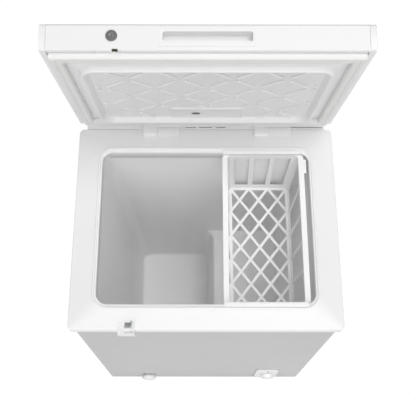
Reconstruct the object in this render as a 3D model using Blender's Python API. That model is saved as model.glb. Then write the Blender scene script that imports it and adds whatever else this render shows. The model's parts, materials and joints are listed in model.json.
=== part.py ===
"""A small chest freezer with its lid open, as separate pieces.

Run with: blender --background --python part.py

Units are metres. +Z is up, +X is to the right of someone who stands in front of the freezer,
and +Y points to its back. The origin is on the floor, under the middle of the footprint that
the freezer takes with its lid open.

Pieces are laid out in the cabinet's own plan: x from the middle, y from the front edge of the
top frame, z from the top face of that frame. The cabinet empty places that plan in the world,
and the lid empty stands on the hinge axis and carries every piece that swings with the lid.
"""

import math

import bmesh
import bpy
from mathutils import Matrix, Vector

MM = 0.001
GAP = 0.3 * MM          # left between pieces that touch on the real object
PAST = 20 * MM          # how far a cutter runs on past what it cuts
FAR = 500 * MM          # a cutter that takes everything on one side
SIDES = 20              # of a round piece
SMALL_SIDES = 16
LARGE_SIDES = 28
ROUND_STEPS = 4         # of a rounded edge

# Top frame, the moulded collar round the mouth
FRAME_WIDTH = 620 * MM
FRAME_DEPTH = 497 * MM
HALF_WIDTH = FRAME_WIDTH / 2
FRAME_SKIRT = 22 * MM
FRAME_WALL = 2.5 * MM
FRAME_CORNER = 12 * MM
MOUTH_SIDE = 60 * MM    # frame edge to mouth, left and right
MOUTH_FRONT = 59 * MM
MOUTH_BACK = 63 * MM
MOUTH_CORNER = 26 * MM
COLLAR_DROP = 31 * MM
COLLAR_WALL = 2 * MM
MOUTH_HALF = HALF_WIDTH - MOUTH_SIDE
RIDGE_SIDE = 9 * MM     # mouth edge to the outside of the raised ridge, left and right
RIDGE_ENDS = 12.3 * MM  # the same at front and back, where the basket hangs
RIDGE_WIDTH = 5 * MM
RIDGE_RISE = 3 * MM

# Cabinet
FEET_HEIGHT = 14 * MM
FOOT_RADIUS = 17 * MM
FOOT_INSET = 42 * MM
FOOT_TAPER = 0.82
BODY_HEIGHT = 786 * MM  # top face of the frame down to the base
SHELL_SET_IN = 3 * MM   # frame edge to the front of the shell
SHELL_SIDE_IN = 11.5 * MM
SHELL_HALF = HALF_WIDTH - SHELL_SIDE_IN
SHELL_SHEET = 1 * MM
SHELL_CORNER = 9 * MM
PAN_SHEET = 1.2 * MM
PAN_LIP = 6 * MM
COIL_SPACE = 9 * MM     # between a sheet and the foam, where the pipework runs
PIPE_RADIUS = 3 * MM
COIL_BEND = 12 * MM
COIL_SLACK = 1.6 * MM

# Liner
LINER_SHEET = 1.5 * MM
LINER_TUCK = 12 * MM    # the liner's top stands this far below the frame's face
COMPRESSOR_RADIUS = 68 * MM
LINER_DEPTH = BODY_HEIGHT - 56 * MM
LINER_FLOOR_SIDE = 53.5 * MM  # how far each wall comes in at the floor
LINER_FLOOR_ENDS = 41 * MM
LINER_CORNER = 28 * MM
LINER_FLOOR_FILLET = 10 * MM
STEP_TOP = LINER_DEPTH - 205 * MM
STEP_LEFT = MOUTH_HALF - 2.04 * COMPRESSOR_RADIUS - 85.28 * MM
STEP_DRAFT = 11 * MM
STEP_ROUND = 10 * MM
FOAM_AT_STEP = 46 * MM

# Hinge and lid
OPEN_ANGLE = 78.7
HINGE_BACK = 7.5 * MM   # hinge axis behind the frame
HINGE_RISE = 12.85 * MM
LID_WIDTH = FRAME_WIDTH - 8.4 * MM
LID_LENGTH = FRAME_DEPTH + HINGE_BACK - 5.1 * MM
LID_THICK = 49.2 * MM
END_TRIM = 12 * MM
END_PROUD = 2 * MM
TRIM_WALL = 2.5 * MM
TRIM_FLANGE = 11.4 * MM
TRIM_TOP_FLANGE = 26 * MM
REAR_FLANGE = 27 * MM
SKIN_SHEET = 1 * MM
LID_LINER_SHEET = 2 * MM
LID_FOAM_FRONT = 27 * MM
GASKET_OUT = 42 * MM    # outside the mouth edge
GASKET_WIDE = 24 * MM
PLUG_BASE = 14 * MM
PLUG_DEPTH = 19.85 * MM
PLUG_CREST_IN = 8.5 * MM
PLUG_CREST = 4 * MM
PLUG_WALL = 7 * MM
PANEL_RECESS = 14 * MM
RIM_CORNER = 4 * MM     # the gasket and the rim it sits on have nearly square corners
PLUG_CORNER = 30 * MM
HINGE_CENTRES = (-0.175 * FRAME_WIDTH, 0.265 * FRAME_WIDTH)
HINGE_LENGTH = 89 * MM
HINGE_FIXED = 33 * MM
PIN_RADIUS = 3 * MM
PIN_CLEAR = 0.3 * MM
KNUCKLE_RADIUS = 7 * MM
HINGE_ARM = 28 * MM      # from the axis to the front of the base
HINGE_DROP = 30 * MM     # down the frame's back
HINGE_NECK = 3 * MM

# Handle, lock and keeper
HANDLE_HALF = 91 * MM
HANDLE_LOW = 6.7 * MM
HANDLE_HIGH = LID_THICK - 4.5 * MM
POCKET_HALF = 81.7 * MM
POCKET_LOW = 16.9 * MM
POCKET_HIGH = HANDLE_HIGH - 9.3 * MM
POCKET_DEPTH = 21 * MM
HANDLE_PROUD = 1.5 * MM
TUB_WALL = 2 * MM
LOCK_SIDES = 24
LOCK_PROUD = 2.4 * MM
BARREL_LENGTH = 5 * MM
CORE_LENGTH = 7.3 * MM
CORE_PROUD = 2 * MM
KEY_HALF = 4 * MM
KEY_WIDE = 1.8 * MM
LOCK_X = -HALF_WIDTH + 135.8 * MM
LOCK_HEIGHT = 27.4 * MM
LOCK_BEZEL = 10.7 * MM
LOCK_BARREL = 9.2 * MM
LOCK_CORE = 7 * MM
LOCK_CLEAR = 0.4 * MM
CAM_REACH = 24 * MM
CAM_WIDE = 8 * MM
CAM_TOE = 14 * MM
CAM_THICK = 2.6 * MM
KEEPER_LEFT = LOCK_X - 22.8 * MM
KEEPER_RIGHT = LOCK_X + 15.2 * MM
KEEPER_FRONT = 9.3 * MM
KEEPER_BACK = MOUTH_FRONT - GASKET_OUT
KEEPER_DROP = 24 * MM
KEEPER_RISE = 2.6 * MM
BAIL_WIRE = 1.5 * MM
BAIL_CLEAR = 0.6 * MM
SLOT_FROM_LEFT = 15 * MM  # the keeper's slot and seat
SLOT_FROM_RIGHT = 4 * MM
SLOT_DEEP = 16 * MM
SEAT_FRONT = 4 * MM
CAM_UNDER_BAIL = 0.8 * MM

# Basket
BASKET_RIGHT = MOUTH_HALF - 11 * MM
BASKET_LEFT = BASKET_RIGHT - 198 * MM
BASKET_RIM = 12.5 * MM
BASKET_RIM_DROP = 11 * MM
BASKET_DEPTH = 164 * MM
BASKET_WALL = 2.6 * MM
BASKET_DRAFT = 20 * MM
BASKET_CORNER = 1.3 * MOUTH_CORNER - 21.8 * MM
BASKET_BAR = 6.6 * MM
BASKET_LUG = 2.4 * MM
LATTICE_ACROSS = 47.5 * MM
LATTICE_ALONG = 60 * MM
END_SLOTS = 3
END_BAR = 12 * MM
SIDE_SLOTS = 5
SIDE_BAR = 8 * MM
SLOT_BELOW_RIM = 20 * MM
SLOT_ABOVE_FLOOR = 14 * MM
EAR_LENGTH = 36 * MM    # the small step out in the right rim, near the back
EAR_FROM_BACK = 12 * MM
EAR_REACH = 6 * MM

# Front of the cabinet
PANEL_RIGHT = SHELL_HALF - 74 * MM
PANEL_LEFT = PANEL_RIGHT - 67.5 * MM
PANEL_BOTTOM = BODY_HEIGHT - 16 * MM
PANEL_TOP = PANEL_BOTTOM - 145 * MM
PANEL_PROUD = 4 * MM
PANEL_CORNER = 6 * MM
PANEL_CUT_IN = 7 * MM    # the shell's opening, inside the panel's edge
LAMP_RADIUS = 3 * MM
LAMP_DOWN = 24 * MM      # below the panel's top
LAMP_LENGTH = 10 * MM
LAMP_PROUD = 1.5 * MM
THERMOSTAT_HALF = 16 * MM
THERMOSTAT_DEPTH = 26 * MM
KNOB_X = PANEL_LEFT + 37 * MM
KNOB_DOWN = PANEL_TOP + 80 * MM
KNOB_RADIUS = 19 * MM
KNOB_LENGTH = 11 * MM
KNOB_SHAFT = 3 * MM
KNOB_TAPER = 0.9
KNOB_MARK = 1.2 * MM
DRAIN_X = -SHELL_HALF + 125 * MM
DRAIN_DOWN = LINER_DEPTH + 15 * MM
DRAIN_CAP = 21 * MM
DRAIN_CAP_LENGTH = 14 * MM
DRAIN_PIPE = 7.5 * MM
DRAIN_PIPE_WALL = 1.5 * MM
DRAIN_HOLE_IN = 62 * MM  # liner's drain hole behind the front of the liner floor
SOCKET_WALL = 2.5 * MM
SOCKET_LENGTH = 8 * MM
PLUG_GRIP = 8 * MM

# Machine bay
BAY_WALL = 40 * MM
COMPRESSOR_HEIGHT = 150 * MM
COMPRESSOR_X = SHELL_HALF - 1.04 * COMPRESSOR_RADIUS - 37.8 * MM
COMPRESSOR_FROM_BACK = 118 * MM
MOUNT_PLATE = 2.5 * MM
GROMMET_HEIGHT = 12 * MM
GROMMET_RADIUS = 10 * MM
GRILLE_THICK = 3 * MM
GRILLE_SLOT = 6 * MM
GRILLE_PITCH = 14 * MM
GRILLE_OVER_BASE = 8 * MM
GLAND_IN = 30 * MM       # from the grille's left edge
GLAND_UP = 28 * MM
GLAND_HOLE = 9 * MM
GLAND_FLANGE = 12 * MM
GLAND_BORE = 4.5 * MM
PLATE_BORDER = 16 * MM   # the mount plate outside the compressor
MOUNT_INSET = 14 * MM
# share of the compressor's radius at each share of its height
COMPRESSOR_SHAPE = ((0.62, 0), (0.9, 0.06), (1, 0.18), (1, 0.45), (1.04, 0.46), (1.04, 0.5), (1, 0.51),
                    (0.96, 0.78), (0.78, 0.93), (0.4, 1))
SEAM_SHARE = 1.04
RELAY_DEEP = 30 * MM
RELAY_HALF = 24 * MM
RELAY_LOW = 30 * MM
RELAY_HIGH = 92 * MM
TAIL_FROM_SIDE = 90 * MM  # the coil's tails come down into the bay here
TAIL_FROM_BACK = 55 * MM
TAIL_BORE = 9 * MM
TAIL_RISE = 20 * MM      # pipes' ends above the bay's ceiling
PIPE_STAND = 12 * MM     # a pipe bend's reach away from what it leaves
DRIER_RADIUS = 9 * MM
DRIER_LENGTH = 90 * MM
DRIER_IN = 30 * MM       # from the bay's wall
DRIER_BACK = 60 * MM     # behind the compressor's middle
DRIER_UP = 50 * MM
CAPILLARY_RADIUS = 1 * MM
CAPILLARY_COIL = 16 * MM
CAPILLARY_STEPS = 25
CAPILLARY_PER_TURN = 10
CAPILLARY_CLIMB = 0.6 * MM
COIL_START = 70 * MM     # below the frame's face
COIL_END = 60 * MM       # above the step
COIL_TURNS = 5
CONDENSER_ROWS = 6
CONDENSER_TOP = 50 * MM
CONDENSER_FOOT = 30 * MM
CONDENSER_BACK = 40 * MM
CORNER_STEPS = 6

# Worked out from the sizes above
MOUTH_Y0 = MOUTH_FRONT
MOUTH_Y1 = FRAME_DEPTH - MOUTH_BACK
HINGE_Y = FRAME_DEPTH + HINGE_BACK
LID_FRONT = HINGE_Y - LID_LENGTH
LID_HALF = LID_WIDTH / 2
LID_TOP = HINGE_RISE + LID_THICK
SHELL_BACK = FRAME_DEPTH - FRAME_WALL - GAP
BASE_Z = -BODY_HEIGHT
SHELL_TOP = -FRAME_WALL - GAP
LINER_TOP_SIDE = (COLLAR_WALL + 2 * GAP
                  + LINER_FLOOR_SIDE * (COLLAR_DROP - LINER_TUCK) / (LINER_DEPTH - LINER_TUCK))
BAY_LEFT = STEP_LEFT + BAY_WALL
BASKET_WIDTH = BASKET_RIGHT - BASKET_LEFT
BASKET_Y0 = MOUTH_Y0 + 1 * MM
BASKET_Y1 = MOUTH_Y1 - 1 * MM
BAY_TOP = -STEP_TOP - FOAM_AT_STEP
LOCK_Z = HINGE_RISE + LOCK_HEIGHT
TRIM_BACK = LID_FRONT + TRIM_FLANGE
OPEN = math.radians(OPEN_ANGLE)
FRONTMOST = min(SHELL_SET_IN - PANEL_PROUD - KNOB_LENGTH, -KEEPER_FRONT)
BACKMOST = HINGE_Y + (LID_THICK + END_PROUD) * math.sin(OPEN)
MIDDLE_Y = (FRONTMOST + BACKMOST) / 2
FLOOR_Z = BASE_Z - FEET_HEIGHT

COLOURS = {
    "white_paint": ((0.86, 0.86, 0.86), 0.35, 0.0),
    "white_plastic": ((0.88, 0.88, 0.88), 0.4, 0.0),
    "liner_grey": ((0.72, 0.73, 0.74), 0.4, 0.0),
    "gasket_white": ((0.84, 0.84, 0.83), 0.6, 0.0),
    "steel": ((0.55, 0.56, 0.57), 0.3, 1.0),
    "galvanised": ((0.6, 0.62, 0.63), 0.45, 1.0),
    "copper": ((0.72, 0.42, 0.28), 0.35, 1.0),
    "black_paint": ((0.03, 0.03, 0.03), 0.45, 0.0),
    "black_plastic": ((0.05, 0.05, 0.05), 0.5, 0.0),
    "rubber": ((0.04, 0.04, 0.04), 0.8, 0.0),
    "foam": ((0.85, 0.78, 0.55), 0.9, 0.0),
    "lamp_green": ((0.1, 0.5, 0.2), 0.3, 0.0),
}


def clear_scene():
    """Remove whatever the new file opens with."""
    for obj in list(bpy.data.objects):
        bpy.data.objects.remove(obj, do_unlink=True)


def material(name):
    """The named finish, made once."""
    found = bpy.data.materials.get(name)
    if found:
        return found
    colour, roughness, metallic = COLOURS[name]
    made = bpy.data.materials.new(name)
    made.use_nodes = True
    shader = made.node_tree.nodes["Principled BSDF"]
    shader.inputs["Base Color"].default_value = (*colour, 1.0)
    shader.inputs["Roughness"].default_value = roughness
    shader.inputs["Metallic"].default_value = metallic
    return made


def empty(name, location, parent=None):
    """A named empty to hang pieces on."""
    obj = bpy.data.objects.new(name, None)
    obj.location = location
    obj.parent = parent
    bpy.context.collection.objects.link(obj)
    return obj


def add(name, bm, finish, parent, location=(0, 0, 0), smooth=False):
    """Turn a bmesh into a piece with its faces outward and its finish on."""
    bmesh.ops.remove_doubles(bm, verts=bm.verts, dist=1e-6)
    bmesh.ops.recalc_face_normals(bm, faces=bm.faces)
    mesh = bpy.data.meshes.new(name)
    bm.to_mesh(mesh)
    bm.free()
    if finish:
        mesh.materials.append(material(finish))
    obj = bpy.data.objects.new(name, mesh)
    obj.location = location
    obj.parent = parent
    bpy.context.collection.objects.link(obj)
    if smooth:
        mesh.shade_smooth()
        mesh.set_sharp_from_angle(angle=math.radians(35))
    return obj


def cut(obj, helpers, operation="DIFFERENCE"):
    """Take helper solids away from a piece, or join them to it, with exact Booleans."""
    for helper in helpers:
        helper.hide_render = True
        helper.display_type = "WIRE"
        step = obj.modifiers.new(operation.lower(), "BOOLEAN")
        step.operation = operation
        step.object = helper
        step.solver = "EXACT"


def cutter(bm, parent):
    """A helper solid that isn't a piece of the freezer."""
    return add("cutter", bm, None, parent)


def box(low, high, bm=None):
    """An axis-aligned box between two corners."""
    bm = bm or bmesh.new()
    size = [high[i] - low[i] for i in range(3)]
    middle = [(high[i] + low[i]) / 2 for i in range(3)]
    place = Matrix.Translation(middle) @ Matrix.Diagonal((*size, 1))
    bmesh.ops.create_cube(bm, size=1, matrix=place)
    return bm


def bevel_along(bm, axis, width, segments=3):
    """Round the edges of a box that run along one axis."""
    edges = []
    for edge in bm.edges:
        run = (edge.verts[0].co - edge.verts[1].co).normalized()
        if abs(run[axis]) > 0.99:
            edges.append(edge)
    bmesh.ops.bevel(bm, geom=edges, offset=width, segments=segments, profile=0.5, affect="EDGES")
    return bm


def cylinder(centre, axis, radius, length, sides=24, radius_far=None):
    """A round bar that starts at centre and runs along axis."""
    bm = bmesh.new()
    far = radius if radius_far is None else radius_far
    turn = Vector((0, 0, 1)).rotation_difference(Vector(axis)).to_matrix().to_4x4()
    place = Matrix.Translation(centre) @ turn @ Matrix.Translation((0, 0, length / 2))
    bmesh.ops.create_cone(bm, cap_ends=True, segments=sides, radius1=radius, radius2=far,
                          depth=length, matrix=place)
    return bm


def rounded_loop(left, right, front, back, z, radius, steps=CORNER_STEPS):
    """Points round a rectangle with round corners, at one height."""
    centres = ((right, back, 0), (left, back, 90), (left, front, 180), (right, front, 270))
    points = []
    for x, y, start in centres:
        cx = x - math.copysign(radius, x - (left + right) / 2)
        cy = y - math.copysign(radius, y - (front + back) / 2)
        for step in range(steps + 1):
            angle = math.radians(start + 90 * step / steps)
            points.append((cx + radius * math.cos(angle), cy + radius * math.sin(angle), z))
    return points


def loft(loops, closed=False):
    """Join loops of points in turn. Closed joins the last to the first, otherwise both are capped."""
    bm = bmesh.new()
    rings = [[bm.verts.new(point) for point in loop] for loop in loops]
    pairs = list(zip(rings, rings[1:]))
    if closed:
        pairs.append((rings[-1], rings[0]))
    count = len(rings[0])
    for one, two in pairs:
        for i in range(count):
            j = (i + 1) % count
            bm.faces.new((one[i], one[j], two[j], two[i]))
    if not closed:
        bm.faces.new(rings[0])
        bm.faces.new(rings[-1])
    return bm


def turned(profile, centre, axis, sides=28):
    """A ring turned from (radius, distance along axis) points, closed round a hole."""
    turn = Vector((0, 0, 1)).rotation_difference(Vector(axis)).to_matrix()
    loops = []
    for radius, along in profile:
        ring = []
        for step in range(sides):
            angle = math.tau * step / sides
            local = Vector((radius * math.cos(angle), radius * math.sin(angle), along))
            ring.append(turn @ local + Vector(centre))
        loops.append(ring)
    return loft(loops, closed=True)


def extrude_outline(points, axis, start, end):
    """A prism from 2-D points. axis 0 takes (y, z), 1 takes (x, z) and 2 takes (x, y)."""
    loops = []
    for at in (start, end):
        loop = []
        for first, second in points:
            place = [first, second]
            place.insert(axis, at)
            loop.append(place)
        loops.append(loop)
    return loft(loops)


def pipe(name, points, radius, finish, parent):
    """A round pipe along a route, with closed ends."""
    curve = bpy.data.curves.new(name, "CURVE")
    curve.dimensions = "3D"
    curve.bevel_depth = radius
    curve.bevel_resolution = 1
    curve.use_fill_caps = True
    spline = curve.splines.new("POLY")
    spline.points.add(len(points) - 1)
    for point, place in zip(spline.points, points):
        point.co = (*place, 1)
    curve.materials.append(material(finish))
    obj = bpy.data.objects.new(name, curve)
    obj.parent = parent
    bpy.context.collection.objects.link(obj)
    return obj


def mouth_loop(outward, z, radius=None, ends=None):
    """A loop at a distance outside the mouth's edge, with its own distance at front and back."""
    ends = outward if ends is None else ends
    round_to = max(MOUTH_CORNER + outward, 2 * MM) if radius is None else radius
    return rounded_loop(-MOUTH_HALF - outward, MOUTH_HALF + outward,
                        MOUTH_Y0 - ends, MOUTH_Y1 + ends, z, round_to)


def edge_loop(inward, z, radius=FRAME_CORNER):
    """A loop at a distance inside the frame's outer edge."""
    return rounded_loop(-HALF_WIDTH + inward, HALF_WIDTH - inward, inward,
                        FRAME_DEPTH - inward, z, max(radius - inward, 2 * MM))


def make_top_frame(cabinet):
    """The collar: skirt, flat top, raised ridge, ledge for the basket and the drop into the mouth."""
    inner_side = RIDGE_SIDE - RIDGE_WIDTH
    inner_ends = RIDGE_ENDS - RIDGE_WIDTH
    loops = [
        edge_loop(0, -FRAME_SKIRT),
        edge_loop(0, -2 * MM),
        edge_loop(2 * MM, 0),
        mouth_loop(RIDGE_SIDE + 1 * MM, 0, ends=RIDGE_ENDS + 1 * MM),
        mouth_loop(RIDGE_SIDE, RIDGE_RISE, ends=RIDGE_ENDS),
        mouth_loop(inner_side, RIDGE_RISE, ends=inner_ends),
        mouth_loop(inner_side, 0, ends=inner_ends),
        mouth_loop(1.5 * MM, 0),
        mouth_loop(0, -1.5 * MM),
        mouth_loop(0, -COLLAR_DROP),
        mouth_loop(COLLAR_WALL, -COLLAR_DROP),
        mouth_loop(COLLAR_WALL, -FRAME_WALL),
        edge_loop(FRAME_WALL, -FRAME_WALL),
        edge_loop(FRAME_WALL, -FRAME_SKIRT),
    ]
    return add("top_frame", loft(loops, closed=True), "white_plastic", cabinet)


def shell_outline(set_in):
    """Half outline in plan of the folded front and sides, from the back left round to the back right."""
    half = SHELL_HALF - set_in
    front = SHELL_SET_IN + set_in
    radius = SHELL_CORNER - set_in
    points = [(-half, SHELL_BACK)]
    for cx, start in ((-half + radius, 180), (half - radius, 270)):
        for step in range(CORNER_STEPS + 1):
            angle = math.radians(start + 90 * step / CORNER_STEPS)
            points.append((cx + radius * math.cos(angle), front + radius + radius * math.sin(angle)))
    points.append((half, SHELL_BACK))
    return points


def make_shell(cabinet):
    """One steel sheet folded round the front and both sides, with its panel and drain cut-outs."""
    outline = shell_outline(0) + shell_outline(SHELL_SHEET)[::-1]
    shell = add("cabinet_shell", extrude_outline(outline, 2, BASE_Z, SHELL_TOP), "white_paint", cabinet)
    edge = PANEL_CUT_IN
    opening = box((PANEL_LEFT + edge, -PAST, -PANEL_BOTTOM + edge),
                  (PANEL_RIGHT - edge, PAST, -PANEL_TOP - edge))
    hole = cylinder((DRAIN_X, -PAST, -DRAIN_DOWN), (0, 1, 0), DRAIN_PIPE + 4 * MM, 2.5 * PAST)
    cut(shell, [cutter(opening, cabinet), cutter(hole, cabinet)])
    return shell


def make_back_panel(cabinet):
    """The rear sheet, between the sides, down to the machine bay and past it on the left."""
    half = SHELL_HALF - SHELL_SHEET - GAP
    low = BASE_Z
    outline = [(-half, low), (BAY_LEFT, low), (BAY_LEFT, BAY_TOP), (half, BAY_TOP), (half, SHELL_TOP),
               (-half, SHELL_TOP)]
    back = extrude_outline(outline, 1, SHELL_BACK - SHELL_SHEET, SHELL_BACK)
    return add("back_panel", back, "white_paint", cabinet)


def make_base(cabinet):
    """The base pan with folded edges, under the foam and the machine bay."""
    half = SHELL_HALF - SHELL_SHEET - GAP
    front = SHELL_SET_IN + SHELL_SHEET + GAP
    back = SHELL_BACK - SHELL_SHEET - GAP
    sheet = PAN_SHEET
    rim = BASE_Z + PAN_LIP
    loops = []
    for inward, z in ((0, BASE_Z), (0, rim), (sheet, rim), (sheet, BASE_Z + sheet)):
        loops.append(rounded_loop(-half + inward, half - inward, front + inward, back - inward, z,
                                  SHELL_CORNER - inward, 3))
    return add("base_pan", loft(loops), "galvanised", cabinet)


def make_feet(cabinet):
    """Four fixed feet under the base pan."""
    for across, x in (("left", -1), ("right", 1)):
        for along, y in (("front", SHELL_SET_IN + FOOT_INSET), ("back", SHELL_BACK - FOOT_INSET)):
            place = (x * (SHELL_HALF - FOOT_INSET), y, BASE_Z - GAP)
            bm = cylinder(place, (0, 0, -1), FOOT_RADIUS, FEET_HEIGHT - GAP, SIDES, FOOT_RADIUS * FOOT_TAPER)
            add(f"foot_{along}_{across}", bm, "black_plastic", cabinet, smooth=True)


def cavity_loop(outward, z):
    """The liner's inner face at a depth, drafted from the mouth to the floor."""
    share = (-z - LINER_TUCK) / (LINER_DEPTH - LINER_TUCK)
    side = LINER_TOP_SIDE - LINER_FLOOR_SIDE * share + outward
    ends = LINER_TOP_SIDE - LINER_FLOOR_ENDS * share + outward
    return rounded_loop(-MOUTH_HALF - side, MOUTH_HALF + side, MOUTH_Y0 - ends, MOUTH_Y1 + ends,
                        z, LINER_CORNER + outward)


def step_block(outward, parent):
    """The block that the compressor step takes out of the cavity."""
    low = -LINER_DEPTH - 5 * PAST
    draft = STEP_DRAFT * (-STEP_TOP - low) / (LINER_DEPTH - STEP_TOP)
    left = STEP_LEFT + outward
    outline = [(left - draft, low), (FAR, low), (FAR, -STEP_TOP - outward), (left, -STEP_TOP - outward)]
    bm = extrude_outline(outline, 1, -FAR, FAR + FRAME_DEPTH)
    edges = []
    for edge in bm.edges:
        middle = (edge.verts[0].co + edge.verts[1].co) / 2
        if math.hypot(middle.x - left, middle.z + STEP_TOP + outward) < GAP:
            edges.append(edge)
    bmesh.ops.bevel(bm, geom=edges, offset=STEP_ROUND, segments=ROUND_STEPS, profile=0.5, affect="EDGES")
    return cutter(bm, parent)


def liner_solid(outward, top, name, finish, parent):
    """The cavity grown outward by a distance, up to a height, with the step taken out."""
    floor = -LINER_DEPTH - outward
    fillet = LINER_FLOOR_FILLET
    loops = [cavity_loop(outward, top), cavity_loop(outward, floor + fillet),
             cavity_loop(outward - fillet * 0.3, floor + fillet * 0.3),
             cavity_loop(outward - fillet, floor)]
    obj = add(name, loft(loops), finish, parent)
    cut(obj, [step_block(outward, parent)])
    return obj


def drain_place():
    """Where the drain hole goes through the liner's floor."""
    return (DRAIN_X, MOUTH_Y0 + LINER_FLOOR_ENDS + DRAIN_HOLE_IN)


def make_liner(cabinet):
    """The liner: a drafted box with the step and a drain hole, open at the top."""
    liner = liner_solid(LINER_SHEET, -LINER_TUCK, "inner_liner", "liner_grey", cabinet)
    inside = liner_solid(0, -LINER_TUCK + 2.5 * PAST, "cutter", None, cabinet)
    under = (*drain_place(), -LINER_DEPTH - PAST)
    hole = cylinder(under, (0, 0, 1), DRAIN_PIPE - DRAIN_PIPE_WALL, 2 * PAST, SIDES)
    cut(liner, [inside, cutter(hole, cabinet)])
    return liner


def make_foam(cabinet):
    """The insulation between liner and shell, clear of both coils and of the machine bay."""
    half = SHELL_HALF - SHELL_SHEET - COIL_SPACE
    front = SHELL_SET_IN + SHELL_SHEET + COIL_SPACE
    back = SHELL_BACK - SHELL_SHEET - PAN_SHEET - 3 * GAP
    low = BASE_Z + PAN_SHEET + GAP
    top = SHELL_TOP - 6 * MM
    block = bevel_along(box((-half, front, low), (half, back, top)), 2, COIL_BEND, 2)
    foam = add("foam_insulation", block, "foam", cabinet)
    hollow = liner_solid(LINER_SHEET + COIL_SPACE, 2.5 * PAST, "cutter", None, cabinet)
    bay = box((BAY_LEFT, -FAR, BASE_Z - FAR), (FAR, FRAME_DEPTH + FAR, BAY_TOP))
    x, y = drain_place()
    bore = DRAIN_PIPE + 1 * MM
    ahead = cylinder((x, 0, -DRAIN_DOWN), (0, 1, 0), bore, y + bore, SMALL_SIDES)
    riser = box((x - bore, y - bore, -DRAIN_DOWN), (x + bore, y + bore, -LINER_DEPTH))
    under = (MOUTH_HALF - TAIL_FROM_SIDE, MOUTH_Y1 - TAIL_FROM_BACK, BAY_TOP - PAST)
    tails = cylinder(under, (0, 0, 1), TAIL_BORE, 5 * PAST, SMALL_SIDES)
    cut(foam, [hollow, cutter(bay, cabinet), cutter(ahead, cabinet), cutter(riser, cabinet),
               cutter(tails, cabinet)])
    return foam


def coil_points(loop_at, top, bottom, turns):
    """A rectangular coil that goes down round a set of loops."""
    whole = len(loop_at(0))
    points = []
    for step in range(turns * whole):
        z = top + (bottom - top) * step / (turns * whole)
        points.append(loop_at(z)[step % whole])
    return points


def make_evaporator(cabinet):
    """Pipe wound round the outside of the liner above the step, then down to the bay."""
    away = LINER_SHEET + GAP + PIPE_RADIUS + COIL_SLACK

    def around(z):
        """The coil's line round the liner at a height."""
        share = (-z - LINER_TUCK) / (LINER_DEPTH - LINER_TUCK)
        side = LINER_TOP_SIDE - LINER_FLOOR_SIDE * share + away
        ends = LINER_TOP_SIDE - LINER_FLOOR_ENDS * share + away
        return rounded_loop(-MOUTH_HALF - side, MOUTH_HALF + side, MOUTH_Y0 - ends, MOUTH_Y1 + ends,
                            z, LINER_CORNER + away, 3)

    points = coil_points(around, -COIL_START, -STEP_TOP + COIL_END, COIL_TURNS)
    pipe("evaporator_coil", points, PIPE_RADIUS, "copper", cabinet)


def make_condenser(cabinet):
    """Pipe up and down inside the sides and front of the shell, where it sheds its heat."""
    away = SHELL_SHEET + GAP + PIPE_RADIUS + 0.7 * MM
    half = SHELL_HALF - away
    front = SHELL_SET_IN + away
    back = SHELL_BACK - CONDENSER_BACK
    top = SHELL_TOP - CONDENSER_TOP
    bottom = BAY_TOP + CONDENSER_FOOT
    points = []
    for row in range(CONDENSER_ROWS):
        z = top + (bottom - top) * row / (CONDENSER_ROWS - 1)
        run = [(-half, back, z), (-half, front + COIL_BEND, z), (-half + COIL_BEND, front, z),
               (half - COIL_BEND, front, z), (half, front + COIL_BEND, z), (half, back, z)]
        points += run if row % 2 == 0 else run[::-1]
    pipe("condenser_coil", points, PIPE_RADIUS, "copper", cabinet)


def make_compressor(cabinet):
    """The sealed compressor on its plate and rubber mounts, with its terminal cover."""
    x = COMPRESSOR_X
    y = SHELL_BACK - COMPRESSOR_FROM_BACK
    floor = BASE_Z + PAN_SHEET + GAP
    plate_z = floor + GROMMET_HEIGHT + GAP
    half_plate = COMPRESSOR_RADIUS + PLATE_BORDER
    plate = box((x - half_plate, y - half_plate, plate_z),
                (x + half_plate, y + half_plate, plate_z + MOUNT_PLATE))
    add("compressor_plate", bevel_along(plate, 2, 10 * MM), "galvanised", cabinet)
    out = half_plate - MOUNT_INSET
    for name, dx, dy in (("a", -1, -1), ("b", 1, -1), ("c", -1, 1), ("d", 1, 1)):
        spot = (x + dx * out, y + dy * out, floor)
        mount = cylinder(spot, (0, 0, 1), GROMMET_RADIUS, GROMMET_HEIGHT, SMALL_SIDES)
        add(f"grommet_{name}", mount, "rubber", cabinet)
    bottom = plate_z + MOUNT_PLATE + GAP
    loops = []
    for share, up in COMPRESSOR_SHAPE:
        radius = COMPRESSOR_RADIUS * share
        turns = [math.tau * i / LARGE_SIDES for i in range(LARGE_SIDES)]
        z = bottom + COMPRESSOR_HEIGHT * up
        loops.append([(x + radius * math.cos(turn), y + radius * math.sin(turn), z) for turn in turns])
    add("compressor", loft(loops), "black_paint", cabinet, smooth=True)
    side = x - COMPRESSOR_RADIUS * SEAM_SHARE - GAP
    cover = box((side - RELAY_DEEP, y - RELAY_HALF, bottom + RELAY_LOW),
                (side, y + RELAY_HALF, bottom + RELAY_HIGH))
    add("compressor_relay_cover", bevel_along(cover, 2, 5 * MM), "black_plastic", cabinet)
    return x, y, bottom


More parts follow.
